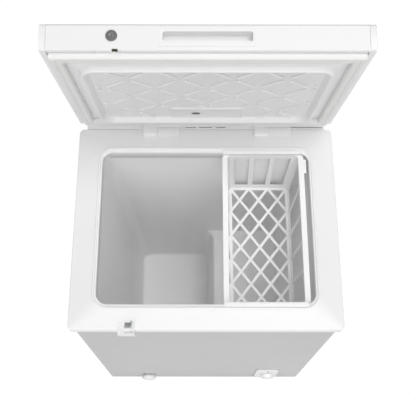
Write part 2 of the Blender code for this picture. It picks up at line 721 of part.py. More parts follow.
def make_pipework(cabinet, x, y, bottom):
    """Suction pipe, discharge pipe, drier and capillary inside the bay."""
    radius = COMPRESSOR_RADIUS * SEAM_SHARE + PIPE_RADIUS + 2 * MM
    away = x + radius + PIPE_STAND
    over = bottom + COMPRESSOR_HEIGHT + PIPE_STAND
    tail = (MOUTH_HALF - TAIL_FROM_SIDE, MOUTH_Y1 - TAIL_FROM_BACK)
    suction = [(x + radius, y, bottom + 90 * MM), (away, y, bottom + 110 * MM), (away, y + TAIL_RISE, over),
               (*tail, over + 10 * MM), (*tail, BAY_TOP + TAIL_RISE)]
    pipe("suction_pipe", suction, PIPE_RADIUS, "copper", cabinet)
    side = SHELL_HALF - SHELL_SHEET - PIPE_STAND
    discharge = [(x + radius, y - 30 * MM, bottom + 50 * MM), (side, y - 50 * MM, bottom + 60 * MM),
                 (side, y - 50 * MM, BAY_TOP - TAIL_RISE)]
    pipe("discharge_pipe", discharge, PIPE_RADIUS * 0.8, "copper", cabinet)
    drier = Vector((BAY_LEFT + DRIER_IN, y + DRIER_BACK, bottom + DRIER_UP))
    body = cylinder(drier, (0, 0, 1), DRIER_RADIUS, DRIER_LENGTH, SMALL_SIDES)
    add("filter_drier", body, "copper", cabinet, smooth=True)
    top = drier + Vector((0, 0, DRIER_LENGTH + GAP))
    capillary = [tuple(top), tuple(top + Vector((0, 0, TAIL_RISE)))]
    for step in range(CAPILLARY_STEPS):
        angle = math.tau * step / CAPILLARY_PER_TURN
        across = CAPILLARY_COIL * math.sin(angle)
        along = CAPILLARY_COIL * (math.cos(angle) - 1)
        up = TAIL_RISE + 2 * MM + CAPILLARY_CLIMB * step
        capillary.append(tuple(top + Vector((across, along, up))))
    pipe("capillary_tube", capillary, CAPILLARY_RADIUS, "copper", cabinet)


def make_grille(cabinet):
    """The slotted cover that closes the machine bay at the back, with the lead's inlet beside it."""
    left = BAY_LEFT + GAP
    right = SHELL_HALF - SHELL_SHEET - 2 * GAP
    top = BAY_TOP - GAP
    low = BASE_Z + GRILLE_OVER_BASE
    y = SHELL_BACK - GRILLE_THICK
    grille = add("bay_grille", box((left, y, low), (right, y + GRILLE_THICK, top)), "black_plastic", cabinet)
    slots = bmesh.new()
    span = (right - left - 4 * GRILLE_PITCH) / 2
    rows = int((top - low - 3 * GRILLE_PITCH) / GRILLE_PITCH)
    for row in range(rows):
        z = low + 2 * GRILLE_PITCH + row * GRILLE_PITCH
        for column in range(2):
            start = left + GRILLE_PITCH + column * (span + 2 * GRILLE_PITCH)
            if column == 0 and row < 2:
                continue
            box((start, y - PAST, z), (start + span, y + PAST, z + GRILLE_SLOT), slots)
    x, z = left + GLAND_IN, low + GLAND_UP
    hole = cylinder((x, y - PAST, z), (0, 1, 0), GLAND_HOLE, 2 * PAST, SIDES)
    cut(grille, [cutter(slots, cabinet), cutter(hole, cabinet)])
    neck = GLAND_HOLE - GAP - 0.1 * MM
    outside = GRILLE_THICK + GAP
    end = GRILLE_THICK + 5 * MM
    gland = turned([(neck, -8 * MM), (neck, outside), (GLAND_FLANGE, outside), (GLAND_FLANGE - 1 * MM, end),
                    (GLAND_BORE, end), (GLAND_BORE, -8 * MM)], (x, y, z), (0, 1, 0), SIDES)
    add("lead_gland", gland, "rubber", cabinet, smooth=True)


def knuckle(start, length, axis):
    """One hinge knuckle with its bore, from a place along the axis."""
    bore = PIN_RADIUS + PIN_CLEAR
    section = [(KNUCKLE_RADIUS, 0), (KNUCKLE_RADIUS, length), (bore, length), (bore, 0)]
    return turned(section, (start, *axis), (1, 0, 0), SIDES)


def make_hinges(cabinet, lid):
    """Both hinges: a base on the frame's back edge, a leaf under the lid and the pin through both."""
    for side, centre in zip(("left", "right"), HINGE_CENTRES):
        x0 = centre - HINGE_LENGTH / 2
        x1 = x0 + HINGE_FIXED
        x2 = x0 + HINGE_LENGTH
        axis = (HINGE_Y, HINGE_RISE)
        base = add(f"hinge_base_{side}", knuckle(x0, HINGE_FIXED, axis), "white_plastic", cabinet)
        front = HINGE_Y - HINGE_ARM
        behind = FRAME_DEPTH + 2 * GAP
        reach = math.sqrt(KNUCKLE_RADIUS ** 2 - HINGE_NECK ** 2)
        outside = FRAME_DEPTH + 3.3 * MM
        block = extrude_outline([(front, GAP), (behind, GAP), (behind, -HINGE_DROP), (outside, -HINGE_DROP),
                                 (outside, HINGE_RISE - 4 * MM), (HINGE_Y - reach, HINGE_RISE - HINGE_NECK),
                                 (front + 3 * MM, 9 * MM), (front, 6 * MM)], 0, x0, x1)
        outside = FRAME_DEPTH + 2.2 * MM
        plate = extrude_outline([(front, GAP), (behind, GAP), (behind, -HINGE_DROP), (outside, -HINGE_DROP),
                                 (outside, 3 * MM), (front, 3 * MM)], 0, x0 + 1 * MM, x2)
        cut(base, [cutter(block, cabinet), cutter(plate, cabinet)], "UNION")
        leaf = add(f"hinge_leaf_{side}", knuckle(x1 + GAP, x2 - x1 - GAP, (0, 0)), "white_plastic", lid)
        wing = box((x1 + GAP, 2 * MM - HINGE_ARM, -2.7 * MM), (x2, -5 * MM, -GAP))
        cut(leaf, [cutter(wing, lid)], "UNION")
        pin = cylinder((x0 + 2 * MM, *axis), (1, 0, 0), PIN_RADIUS, HINGE_LENGTH - 4 * MM, SIDES)
        add(f"hinge_pin_{side}", pin, "steel", cabinet, smooth=True)


def lid_place(x, y, z):
    """A point of the cabinet's plan, with the lid shut, as the lid's own place."""
    return (x, y - HINGE_Y, z - HINGE_RISE)


def lid_box(low, high):
    """A box given in the cabinet's plan with the lid shut."""
    return box(lid_place(*low), lid_place(*high))


def channel(low, high, wall, open_side):
    """A thin moulding: a box with one long side open. open_side is (axis, sign)."""
    outer = box(low, high)
    axis, sign = open_side
    inner_low = [low[i] + wall for i in range(3)]
    inner_high = [high[i] - wall for i in range(3)]
    if sign > 0:
        inner_high[axis] = high[axis] + wall
    else:
        inner_low[axis] = low[axis] - wall
    return outer, box(inner_low, inner_high)


def make_lid_trims(lid):
    """Front, rear and end mouldings that frame the lid."""
    half = LID_HALF - END_TRIM - GAP
    low = lid_place(-half, LID_FRONT, HINGE_RISE)
    high = lid_place(half, LID_FRONT + TRIM_TOP_FLANGE, LID_TOP - SKIN_SHEET - GAP)
    outer, inner = channel(low, high, TRIM_WALL, (1, 1))
    front = add("lid_front_trim", outer, "white_plastic", lid)
    under = lid_box((-half - PAST, TRIM_BACK, HINGE_RISE - PAST),
                    (half + PAST, TRIM_BACK + 5 * PAST, HINGE_RISE + 6 * MM))
    around = TUB_WALL + 1 * MM
    pocket = lid_box((-POCKET_HALF - around, LID_FRONT - PAST / 2, HINGE_RISE + POCKET_LOW - around),
                     (POCKET_HALF + around, LID_FRONT + PAST / 2, HINGE_RISE + POCKET_HIGH + around))
    ahead = lid_place(LOCK_X, LID_FRONT - PAST / 2, LOCK_Z)
    hole = cylinder(ahead, (0, 1, 0), LOCK_BARREL + GAP, 1.5 * PAST, LOCK_SIDES)
    notch = lid_box((KEEPER_LEFT - 8 * MM, LID_FRONT - PAST, HINGE_RISE - PAST),
                    (KEEPER_RIGHT + 1 * MM, TRIM_BACK + PAST, HINGE_RISE + TRIM_WALL + 1 * MM))
    cut(front, [cutter(bm, lid) for bm in (inner, under, pocket, hole, notch)])

    low = lid_place(-half, HINGE_Y - REAR_FLANGE, HINGE_RISE)
    high = lid_place(half, HINGE_Y, LID_TOP - SKIN_SHEET - GAP)
    outer, inner = channel(low, high, TRIM_WALL, (1, -1))
    rear = add("lid_rear_trim", outer, "white_plastic", lid)
    cuts = [cutter(inner, lid)]
    room = KNUCKLE_RADIUS + 1 * MM
    for centre in HINGE_CENTRES:
        half = HINGE_LENGTH / 2 + 1 * MM
        cuts.append(cutter(box((centre - half, -room, -PAST), (centre + half, PAST, room)), lid))
    cut(rear, cuts)

    for side, sign in (("left", -1), ("right", 1)):
        low = lid_place(min(sign * LID_HALF, sign * (LID_HALF - END_TRIM)), LID_FRONT, HINGE_RISE)
        high = lid_place(max(sign * LID_HALF, sign * (LID_HALF - END_TRIM)), HINGE_Y, LID_TOP + END_PROUD)
        outer, inner = channel(low, high, TRIM_WALL, (0, -sign))
        trim = add(f"lid_end_trim_{side}", bevel_along(outer, 0, 6 * MM, 4), "white_plastic", lid)
        cut(trim, [cutter(inner, lid)])


def make_lid_skin(lid):
    """The painted steel top of the lid."""
    half = LID_HALF - END_TRIM - GAP
    skin = lid_box((-half, LID_FRONT, LID_TOP - SKIN_SHEET), (half, HINGE_Y, LID_TOP))
    add("lid_top_skin", skin, "white_paint", lid)


def dish_loop(outward, z, corner=None):
    """A loop of the lid's inner liner, at a distance outside the mouth's edge."""
    shape = mouth_loop(outward, z, corner)
    return [lid_place(*point) for point in shape]


def plug_profile():
    """(distance outside the mouth, height) down the plug, over its crest and into the panel."""
    crest = HINGE_RISE - PLUG_DEPTH
    return [(PLUG_BASE, HINGE_RISE), (4 * MM, 8.5 * MM), (-4.5 * MM, 5.5 * MM),
            (-7.5 * MM, -3 * MM), (-PLUG_CREST_IN, crest), (-PLUG_CREST_IN - PLUG_CREST, crest),
            (-PLUG_CREST_IN - PLUG_CREST - PLUG_WALL, crest + PANEL_RECESS)]


def make_lid_liner(lid):
    """The dished sheet under the lid: rim, plug that drops into the mouth, and recessed panel."""
    lower = [dish_loop(GASKET_OUT, HINGE_RISE, RIM_CORNER)]
    lower += [dish_loop(outward, z, PLUG_CORNER) for outward, z in plug_profile()]
    crest = HINGE_RISE - PLUG_DEPTH
    top = [(PLUG_BASE - 1 * MM, HINGE_RISE + LID_LINER_SHEET), (3 * MM, 10.7 * MM), (-6.5 * MM, 7.3 * MM),
           (-9.5 * MM, -2.4 * MM), (-PLUG_CREST_IN - 1.6 * MM, crest + LID_LINER_SHEET),
           (-PLUG_CREST_IN - PLUG_CREST + 1 * MM, crest + LID_LINER_SHEET),
           (-PLUG_CREST_IN - PLUG_CREST - PLUG_WALL + 1 * MM, crest + PANEL_RECESS + LID_LINER_SHEET)]
    outer = [dish_loop(GASKET_OUT, HINGE_RISE + LID_LINER_SHEET, RIM_CORNER)]
    outer += [dish_loop(outward, z, PLUG_CORNER) for outward, z in top]
    bm = loft(lower[::-1] + outer)
    add("lid_liner", bm, "white_plastic", lid)


def make_lid_foam(lid):
    """The insulation inside the lid."""
    top = LID_TOP - SKIN_SHEET - GAP
    above = HINGE_RISE + LID_LINER_SHEET + 4 * GAP
    y0 = LID_FRONT + LID_FOAM_FRONT
    y1 = HINGE_Y - REAR_FLANGE - GAP
    half = LID_HALF - END_TRIM - 2 * GAP
    foam = add("lid_foam", lid_box((-half, y0, above), (half, y1, top)), "foam", lid)
    inward = -PLUG_CREST_IN - PLUG_CREST - PLUG_WALL - 1 * MM
    panel = HINGE_RISE - PLUG_DEPTH + PANEL_RECESS + LID_LINER_SHEET + GAP
    plug = loft([dish_loop(inward, panel, PLUG_CORNER), dish_loop(inward, above + 5 * MM, PLUG_CORNER)])
    cut(foam, [cutter(plug, lid)], "UNION")


def make_gasket(lid):
    """The magnetic seal round the underside of the lid, with its groove."""
    out = GASKET_OUT - 0.6 * MM
    inner = GASKET_OUT - GASKET_WIDE
    top = HINGE_RISE - GAP
    face = GAP + 0.1 * MM
    profile = [(out, top), (out, 2.4 * MM), (out - 2 * MM, face), (out - 9 * MM, face), (out - 10.5 * MM, 3 * MM),
               (out - 13 * MM, 3 * MM), (out - 14.5 * MM, face), (inner + 2 * MM, face), (inner, 2.4 * MM),
               (inner, top)]
    add("lid_gasket", loft([dish_loop(o, z, RIM_CORNER) for o, z in profile], closed=True), "gasket_white", lid)


def make_handle(lid):
    """The recessed grip: a flange proud of the front with a pocket for the fingers."""
    y = LID_FRONT - GAP
    face = lid_box((-HANDLE_HALF, y - HANDLE_PROUD, HINGE_RISE + HANDLE_LOW),
                   (HANDLE_HALF, y, HINGE_RISE + HANDLE_HIGH))
    grip = add("handle_insert", bevel_along(face, 1, 7 * MM, ROUND_STEPS), "white_plastic", lid)
    low, high = HINGE_RISE + POCKET_LOW, HINGE_RISE + POCKET_HIGH
    deep = y + POCKET_DEPTH
    tub = lid_box((-POCKET_HALF - TUB_WALL, y - 0.5 * MM, low - TUB_WALL),
                  (POCKET_HALF + TUB_WALL, deep + TUB_WALL, high + TUB_WALL))
    hollow = lid_box((-POCKET_HALF, y - PAST, low), (POCKET_HALF, deep, high))
    cut(grip, [cutter(bevel_along(tub, 1, 6 * MM, ROUND_STEPS), lid)], "UNION")
    cut(grip, [cutter(bevel_along(hollow, 1, 4 * MM, ROUND_STEPS), lid)])


def make_lock(lid):
    """The lock's housing in the lid's front, and the core and cam that turn in it."""
    place = lid_place(LOCK_X, LID_FRONT, LOCK_Z)
    bore = LOCK_CORE + LOCK_CLEAR
    housing = [(LOCK_BEZEL, -LOCK_PROUD), (LOCK_BEZEL, -GAP), (LOCK_BARREL, -GAP), (LOCK_BARREL, BARREL_LENGTH),
               (bore, BARREL_LENGTH), (bore, -LOCK_PROUD)]
    add("lock_housing", turned(housing, place, (0, 1, 0)), "steel", lid, smooth=True)
    pivot = empty("lock_axis", place, lid)
    body = cylinder((0, -CORE_PROUD, 0), (0, 1, 0), LOCK_CORE, CORE_LENGTH, LOCK_SIDES)
    core = add("lock_core", body, "steel", pivot, smooth=True)
    keyway = box((-KEY_WIDE / 2, -PAST, -KEY_HALF), (KEY_WIDE / 2, 1.5 * MM, KEY_HALF))
    cut(core, [cutter(keyway, pivot)])
    start = CORE_LENGTH - CORE_PROUD + GAP
    arm = [(CAM_WIDE / 2, 6 * MM), (-CAM_REACH + CAM_WIDE / 2, 5 * MM), (-CAM_REACH, 2 * MM),
           (-CAM_REACH, -CAM_TOE), (-CAM_REACH + 4 * MM, -CAM_TOE), (-CAM_REACH + 4 * MM, -CAM_WIDE / 2),
           (CAM_WIDE / 2, -6 * MM)]
    cam = extrude_outline(arm, 1, start, start + CAM_THICK)
    add("lock_cam", cam, "galvanised", pivot)


def make_keeper(cabinet):
    """The keeper on the frame's front edge: a white block and the steel bail that the cam hooks under."""
    tongue = box((KEEPER_LEFT, -KEEPER_FRONT, GAP), (KEEPER_RIGHT, KEEPER_BACK, KEEPER_RISE))
    keeper = add("lock_keeper", tongue, "white_plastic", cabinet)
    leg = box((KEEPER_LEFT, -KEEPER_FRONT, -KEEPER_DROP), (KEEPER_RIGHT, -GAP, GAP + 0.5 * MM))
    cut(keeper, [cutter(leg, cabinet)], "UNION")
    slot_left = KEEPER_LEFT + SLOT_FROM_LEFT
    slot_right = KEEPER_RIGHT - SLOT_FROM_RIGHT
    front = box((slot_left, -7 * MM, -SLOT_DEEP), (slot_right, -1.8 * MM, PAST))
    seat = box((slot_left, SEAT_FRONT, KEEPER_RISE - 1.4 * MM), (slot_right, KEEPER_BACK - 0.5 * MM, PAST))
    cut(keeper, [cutter(front, cabinet), cutter(seat, cabinet)])
    cam_y = LID_FRONT + CORE_LENGTH - CORE_PROUD + GAP
    bail_x = LOCK_X + 9 * MM
    toe_top = LOCK_Z - CAM_REACH + 4 * MM
    bar_z = toe_top + CAM_UNDER_BAIL
    low = KEEPER_RISE - 1.1 * MM
    plate = box((slot_left + GAP, SEAT_FRONT + GAP, low), (slot_right - GAP, KEEPER_BACK - 0.8 * MM, low + 1 * MM))
    striker = add("lock_striker", plate, "steel", cabinet)
    top = bar_z + 2 * BAIL_WIRE
    left, right = bail_x - BAIL_WIRE, bail_x + BAIL_WIRE
    foot = low + 0.5 * MM
    near = cam_y - BAIL_CLEAR - BAIL_WIRE
    far = cam_y + CAM_THICK + BAIL_CLEAR + BAIL_WIRE
    thick = BAIL_WIRE / 2
    near_leg = box((left, near - thick, foot), (right, near + thick, top))
    far_leg = box((left, far - thick, foot), (right, far + thick, top))
    bar = box((left, near, bar_z), (right, far, top - 0.2 * MM))
    cut(striker, [cutter(bm, cabinet) for bm in (near_leg, far_leg, bar)], "UNION")


def basket_loop(side, end, z):
    """A loop of the basket at distances inside its rim's outer edge, at the sides and at the ends."""
    return rounded_loop(side, BASKET_WIDTH - side, BASKET_Y0 + end, BASKET_Y1 - end, z, BASKET_CORNER, ROUND_STEPS)


def lattice():
    """The diamond openings of the basket's floor."""
    border = BASKET_DRAFT + BASKET_WALL + BASKET_BAR
    x0, x1 = border, BASKET_WIDTH - border
    y0, y1 = BASKET_Y0 + border, BASKET_Y1 - border
    low = -BASKET_RIM_DROP - BASKET_DEPTH - PAST / 2
    across = max(1, round((x1 - x0) / LATTICE_ACROSS))
    along = max(2, round((y1 - y0) / LATTICE_ALONG * 2))
    pitch_x = (x1 - x0) / across
    pitch_y = (y1 - y0) / along
    slant = math.hypot(pitch_x / 2, pitch_y)
    half_x = pitch_x / 2 - BASKET_BAR / 2 * slant / pitch_y
    half_y = pitch_y - BASKET_BAR / 2 * slant / (pitch_x / 2)
    field = bmesh.new()
    for row in range(along + 1):
        odd = row % 2
        for column in range(across + 1 - odd):
            cx = x0 + pitch_x * (column + odd / 2)
            cy = y0 + pitch_y * row
            diamond = [(cx - half_x, cy), (cx, cy - half_y), (cx + half_x, cy), (cx, cy + half_y)]
            diamond = clip(diamond, x0, x1, y0, y1)
            if len(diamond) > 2:
                prism(field, diamond, low, low + PAST)
    return field


def prism(bm, outline, low, high):
    """Add an upright prism over an outline in plan."""
    rings = [[bm.verts.new((x, y, z)) for x, y in outline] for z in (low, high)]
    for i, start in enumerate(rings[0]):
        j = (i + 1) % len(outline)
        bm.faces.new((start, rings[0][j], rings[1][j], rings[1][i]))
    bm.faces.new(rings[0])
    bm.faces.new(rings[1])


def clip(corners, x0, x1, y0, y1):
    """Cut a convex outline to a rectangle."""
    for axis, limit, keep in ((0, x0, 1), (0, x1, -1), (1, y0, 1), (1, y1, -1)):
        kept = []
        for index, point in enumerate(corners):
            before = corners[index - 1]
            inside = keep * (point[axis] - limit) >= 0
            was_inside = keep * (before[axis] - limit) >= 0
            if inside != was_inside:
                share = (limit - before[axis]) / (point[axis] - before[axis])
                kept.append(tuple(before[i] + (point[i] - before[i]) * share for i in range(2)))
            if inside:
                kept.append(point)
        corners = kept
    return corners


def slot_spans(start, end, count, bar):
    """Where each of a row of equal openings starts and ends, with bars between them."""
    width = (end - start - (count - 1) * bar) / count
    return [(start + i * (width + bar), start + i * (width + bar) + width) for i in range(count)]


def wall_slots():
    """Prisms through the front and back walls, and through both side walls."""
    top = -BASKET_RIM_DROP - SLOT_BELOW_RIM
    low = -BASKET_RIM_DROP - BASKET_DEPTH + SLOT_ABOVE_FLOOR
    post = BASKET_DRAFT + BASKET_CORNER
    ends = bmesh.new()
    for x0, x1 in slot_spans(post, BASKET_WIDTH - post, END_SLOTS, END_BAR):
        box((x0, 0, low), (x1, FRAME_DEPTH, top), ends)
    sides = bmesh.new()
    for y0, y1 in slot_spans(BASKET_Y0 + post, BASKET_Y1 - post, SIDE_SLOTS, SIDE_BAR):
        box((-PAST, y0, low), (BASKET_WIDTH + PAST, y1, top), sides)
    return ends, sides


def make_basket(cabinet):
    """The hanging basket: drafted walls, flat rim, lugs on the mouth's ledges and a lattice floor."""
    slider = empty("basket_slider", (BASKET_LEFT, 0, 0), cabinet)
    top = -BASKET_RIM_DROP
    low = top - BASKET_DEPTH
    rim = BASKET_RIM
    wall = BASKET_WALL
    draft = BASKET_DRAFT
    loops = [basket_loop(draft, draft, low), basket_loop(rim - wall, GAP, top - wall),
             basket_loop(0, 0, top - wall), basket_loop(0, 0, top), basket_loop(rim, wall, top),
             basket_loop(draft + wall, draft + wall, low + wall)]
    basket = add("basket", loft(loops), "white_plastic", slider)
    reach = RIDGE_ENDS - RIDGE_WIDTH - 2 * GAP
    inset = BASKET_CORNER + 2 * MM
    lugs = bmesh.new()
    webs = bmesh.new()
    web = wall - 0.2 * MM
    for lug, near in ((MOUTH_Y0 - reach, BASKET_Y0), (MOUTH_Y1 + reach, BASKET_Y1 - web)):
        box((inset, min(lug, near), GAP), (BASKET_WIDTH - inset, max(lug, near + web), GAP + BASKET_LUG), lugs)
        box((inset, near, top - wall / 2), (BASKET_WIDTH - inset, near + web, GAP + BASKET_LUG / 2), webs)
    ear = box((BASKET_WIDTH - wall, BASKET_Y1 - EAR_FROM_BACK - EAR_LENGTH, top - wall + 0.1 * MM),
              (BASKET_WIDTH + EAR_REACH, BASKET_Y1 - EAR_FROM_BACK, top - 0.1 * MM))
    cut(basket, [cutter(webs, slider), cutter(lugs, slider), cutter(ear, slider)], "UNION")
    cut(basket, [cutter(bm, slider) for bm in (lattice(), *wall_slots())])


def make_controls(cabinet):
    """The control panel, its thermostat and lamp, and the knob that turns on it."""
    face = SHELL_SET_IN
    panel = box((PANEL_LEFT, face - PANEL_PROUD, -PANEL_BOTTOM), (PANEL_RIGHT, face - GAP, -PANEL_TOP))
    plate = add("control_panel", bevel_along(panel, 1, PANEL_CORNER, ROUND_STEPS), "white_plastic", cabinet)
    shaft_hole = cylinder((KNOB_X, -PAST, -KNOB_DOWN), (0, 1, 0), KNOB_SHAFT + 0.5 * MM, 3 * PAST, SMALL_SIDES)
    lamp_z = -PANEL_TOP - LAMP_DOWN
    lamp_hole = cylinder((KNOB_X, -PAST, lamp_z), (0, 1, 0), LAMP_RADIUS + GAP, 3 * PAST, SMALL_SIDES)
    cut(plate, [cutter(shaft_hole, cabinet), cutter(lamp_hole, cabinet)])
    front = face - PANEL_PROUD - LAMP_PROUD
    lamp = cylinder((KNOB_X, front, lamp_z), (0, 1, 0), LAMP_RADIUS, LAMP_LENGTH, SMALL_SIDES)
    add("indicator_lamp", lamp, "lamp_green", cabinet, smooth=True)
    half = THERMOSTAT_HALF
    body = box((KNOB_X - half, face + SHELL_SHEET + 2 * MM, -KNOB_DOWN - half),
               (KNOB_X + half, face + THERMOSTAT_DEPTH, -KNOB_DOWN + half))
    add("thermostat_body", bevel_along(body, 1, 3 * MM), "galvanised", cabinet)
    axis = empty("knob_axis", (KNOB_X, face - PANEL_PROUD - 2 * GAP, -KNOB_DOWN), cabinet)
    head = cylinder((0, 0, 0), (0, -1, 0), KNOB_RADIUS, KNOB_LENGTH, 32, KNOB_RADIUS * KNOB_TAPER)
    knob = add("thermostat_knob", head, "white_plastic", axis, smooth=True)
    reach = PANEL_PROUD + 2 * GAP + SHELL_SHEET + 2 * MM
    shaft = cylinder((0, -1 * MM, 0), (0, 1, 0), KNOB_SHAFT, reach, SMALL_SIDES)
    cut(knob, [cutter(shaft, axis)], "UNION")
    mark = box((-KNOB_MARK, -KNOB_LENGTH - PAST, 3 * MM), (KNOB_MARK, -KNOB_LENGTH + 1 * MM, KNOB_RADIUS * 0.8))
    cut(knob, [cutter(mark, axis)])


def make_drain(cabinet):
    """The drain: a bent pipe from the floor to the front, its socket, outer cap and inner plug."""
    x, y = drain_place()
    top = -LINER_DEPTH - LINER_SHEET - 2 * GAP
    inner = DRAIN_PIPE - DRAIN_PIPE_WALL
    face = SHELL_SET_IN
    start = face + SHELL_SHEET + 2 * GAP
    ahead = cylinder((x, start, -DRAIN_DOWN), (0, 1, 0), DRAIN_PIPE, y + DRAIN_PIPE - start, SIDES)
    pipe_body = add("drain_pipe", ahead, "white_plastic", cabinet)
    rise = top + DRAIN_DOWN - 2 * MM
    riser = cylinder((x, y, -DRAIN_DOWN + 2 * MM), (0, 0, 1), DRAIN_PIPE - 0.2 * MM, rise, SIDES)
    cut(pipe_body, [cutter(riser, cabinet)], "UNION")
    run = y - start + PAST / 2 + inner * 0.8
    bore = cylinder((x, start - PAST / 2, -DRAIN_DOWN), (0, 1, 0), inner, run, SIDES)
    up = cylinder((x, y, -DRAIN_DOWN), (0, 0, 1), inner - 0.2 * MM, 2.5 * PAST, SIDES)
    cut(pipe_body, [cutter(bore, cabinet), cutter(up, cabinet)])
    flange = DRAIN_CAP - 3 * MM
    neck = inner + SOCKET_WALL
    socket = turned([(inner, 0), (flange, 0), (flange, 2 * MM), (neck, 2 * MM), (neck, SOCKET_LENGTH),
                     (inner, SOCKET_LENGTH)], (x, face - GAP, -DRAIN_DOWN), (0, -1, 0), LOCK_SIDES)
    add("drain_socket", socket, "white_plastic", cabinet, smooth=True)
    clear = neck + GAP
    end = DRAIN_CAP_LENGTH
    cap = turned([(clear, 3 * MM), (DRAIN_CAP, 3 * MM), (DRAIN_CAP, end - 3 * MM), (DRAIN_CAP - 4 * MM, end),
                  (2 * MM, end), (2 * MM, SOCKET_LENGTH + 1 * MM), (clear, SOCKET_LENGTH + 1 * MM)],
                 (x, face - GAP, -DRAIN_DOWN), (0, -1, 0), LOCK_SIDES)
    add("drain_cap", cap, "white_plastic", cabinet, smooth=True)
    stem = inner - 1 * MM
    plug = cylinder((x, y, -LINER_DEPTH + GAP), (0, 0, 1), stem + 6 * MM, 3 * MM, SIDES)
    obj = add("drain_plug", plug, "white_plastic", cabinet, smooth=True)
    lower = cylinder((x, y, -LINER_DEPTH - 7 * MM), (0, 0, 1), stem, 8.5 * MM, SIDES)
    grip = box((x - 1.5 * MM, y - PLUG_GRIP, -LINER_DEPTH + 2 * MM),
               (x + 1.5 * MM, y + PLUG_GRIP, -LINER_DEPTH + 12 * MM))
    cut(obj, [cutter(lower, cabinet), cutter(grip, cabinet)], "UNION")


def main():
    """Build the cabinet, then what swings with the lid."""
    clear_scene()
    cabinet = empty("cabinet", (0, -MIDDLE_Y, -FLOOR_Z))
    lid = empty("lid_axis", (0, HINGE_Y, HINGE_RISE), cabinet)
    lid.rotation_euler = (-OPEN, 0, 0)
    make_top_frame(cabinet)
    make_shell(cabinet)
    make_back_panel(cabinet)
    make_base(cabinet)
    make_feet(cabinet)
    make_liner(cabinet)
    make_foam(cabinet)
    make_evaporator(cabinet)
    make_condenser(cabinet)
    make_pipework(cabinet, *make_compressor(cabinet))
    make_grille(cabinet)
    make_hinges(cabinet, lid)
    make_lid_trims(lid)
    make_lid_skin(lid)
    make_lid_liner(lid)
    make_lid_foam(lid)
    make_gasket(lid)
    make_handle(lid)
    make_lock(lid)
    make_keeper(cabinet)
    make_basket(cabinet)
    make_controls(cabinet)
    make_drain(cabinet)


main()
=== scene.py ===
"""Shapes and finishes of a small chest freezer that stands with its lid open.

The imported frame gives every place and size. Each sub-assembly is a class that builds its pieces
round the nodes of that frame, gives them their finish and hangs them on their body.
"""

import json
import logging
import math
from dataclasses import dataclass, replace
from enum import Enum
from typing import Optional, Sequence

import bmesh
import bpy
from mathutils import Matrix, Vector

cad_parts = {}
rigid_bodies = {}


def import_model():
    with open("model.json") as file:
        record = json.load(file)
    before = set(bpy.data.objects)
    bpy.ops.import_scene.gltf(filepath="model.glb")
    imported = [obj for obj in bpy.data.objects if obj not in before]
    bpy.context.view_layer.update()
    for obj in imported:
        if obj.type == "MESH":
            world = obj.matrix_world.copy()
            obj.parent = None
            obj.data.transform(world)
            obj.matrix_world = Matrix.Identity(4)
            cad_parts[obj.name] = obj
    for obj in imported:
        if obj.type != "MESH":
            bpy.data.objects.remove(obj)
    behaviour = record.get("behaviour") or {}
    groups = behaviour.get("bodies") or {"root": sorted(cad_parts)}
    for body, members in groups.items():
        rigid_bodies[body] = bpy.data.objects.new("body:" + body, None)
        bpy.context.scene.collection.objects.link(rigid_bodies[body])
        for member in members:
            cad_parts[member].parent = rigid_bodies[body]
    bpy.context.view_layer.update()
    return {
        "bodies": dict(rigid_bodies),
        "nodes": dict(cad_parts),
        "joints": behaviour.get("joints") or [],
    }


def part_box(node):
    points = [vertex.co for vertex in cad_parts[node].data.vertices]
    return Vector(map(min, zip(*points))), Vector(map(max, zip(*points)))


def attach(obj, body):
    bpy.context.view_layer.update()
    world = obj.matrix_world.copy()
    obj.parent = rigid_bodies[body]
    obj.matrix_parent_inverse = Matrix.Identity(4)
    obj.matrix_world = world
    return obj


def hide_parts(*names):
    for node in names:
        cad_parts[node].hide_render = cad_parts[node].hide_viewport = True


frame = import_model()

LOG = logging.getLogger("freezer")
MM = 0.001
HAIR = 0.01 * MM  # heights closer than this are one height
Colour = tuple[float, float, float]


class Body(Enum):
    """What a piece moves with."""

    CABINET = "cabinet"
    LID = "lid"
    LOCK = "lock"
    BASKET = "basket"
    KNOB = "knob"
    DRAIN_CAP = "outer_drain_cap"
    DRAIN_PLUG = "inner_drain_plug"


class Slot(Enum):
    """The record's material slots."""

    WHITE_PAINT = "white_paint"
    WHITE_PLASTIC = "white_plastic"
    BASKET_PLASTIC = "basket_plastic"
    LINER_PAINT = "liner_paint"
    GASKET_VINYL = "gasket_vinyl"
    PLATED_STEEL = "plated_steel"
    GALVANISED = "galvanised_steel"
    COPPER = "copper"
    BLACK_PAINT = "black_paint"
    BLACK_PLASTIC = "black_plastic"
    BLACK_RUBBER = "black_rubber"
    FOAM = "insulation_foam"
    LAMP_LENS = "lamp_lens"


class Pattern(Enum):
    """How the fine relief of a finish runs."""

    PEEL = "orange peel of paint and moulded plastic"
    BRUSHED = "fine parallel scratches"
    SPANGLE = "crystals of hot zinc"
    CELLS = "open cells of rigid foam"


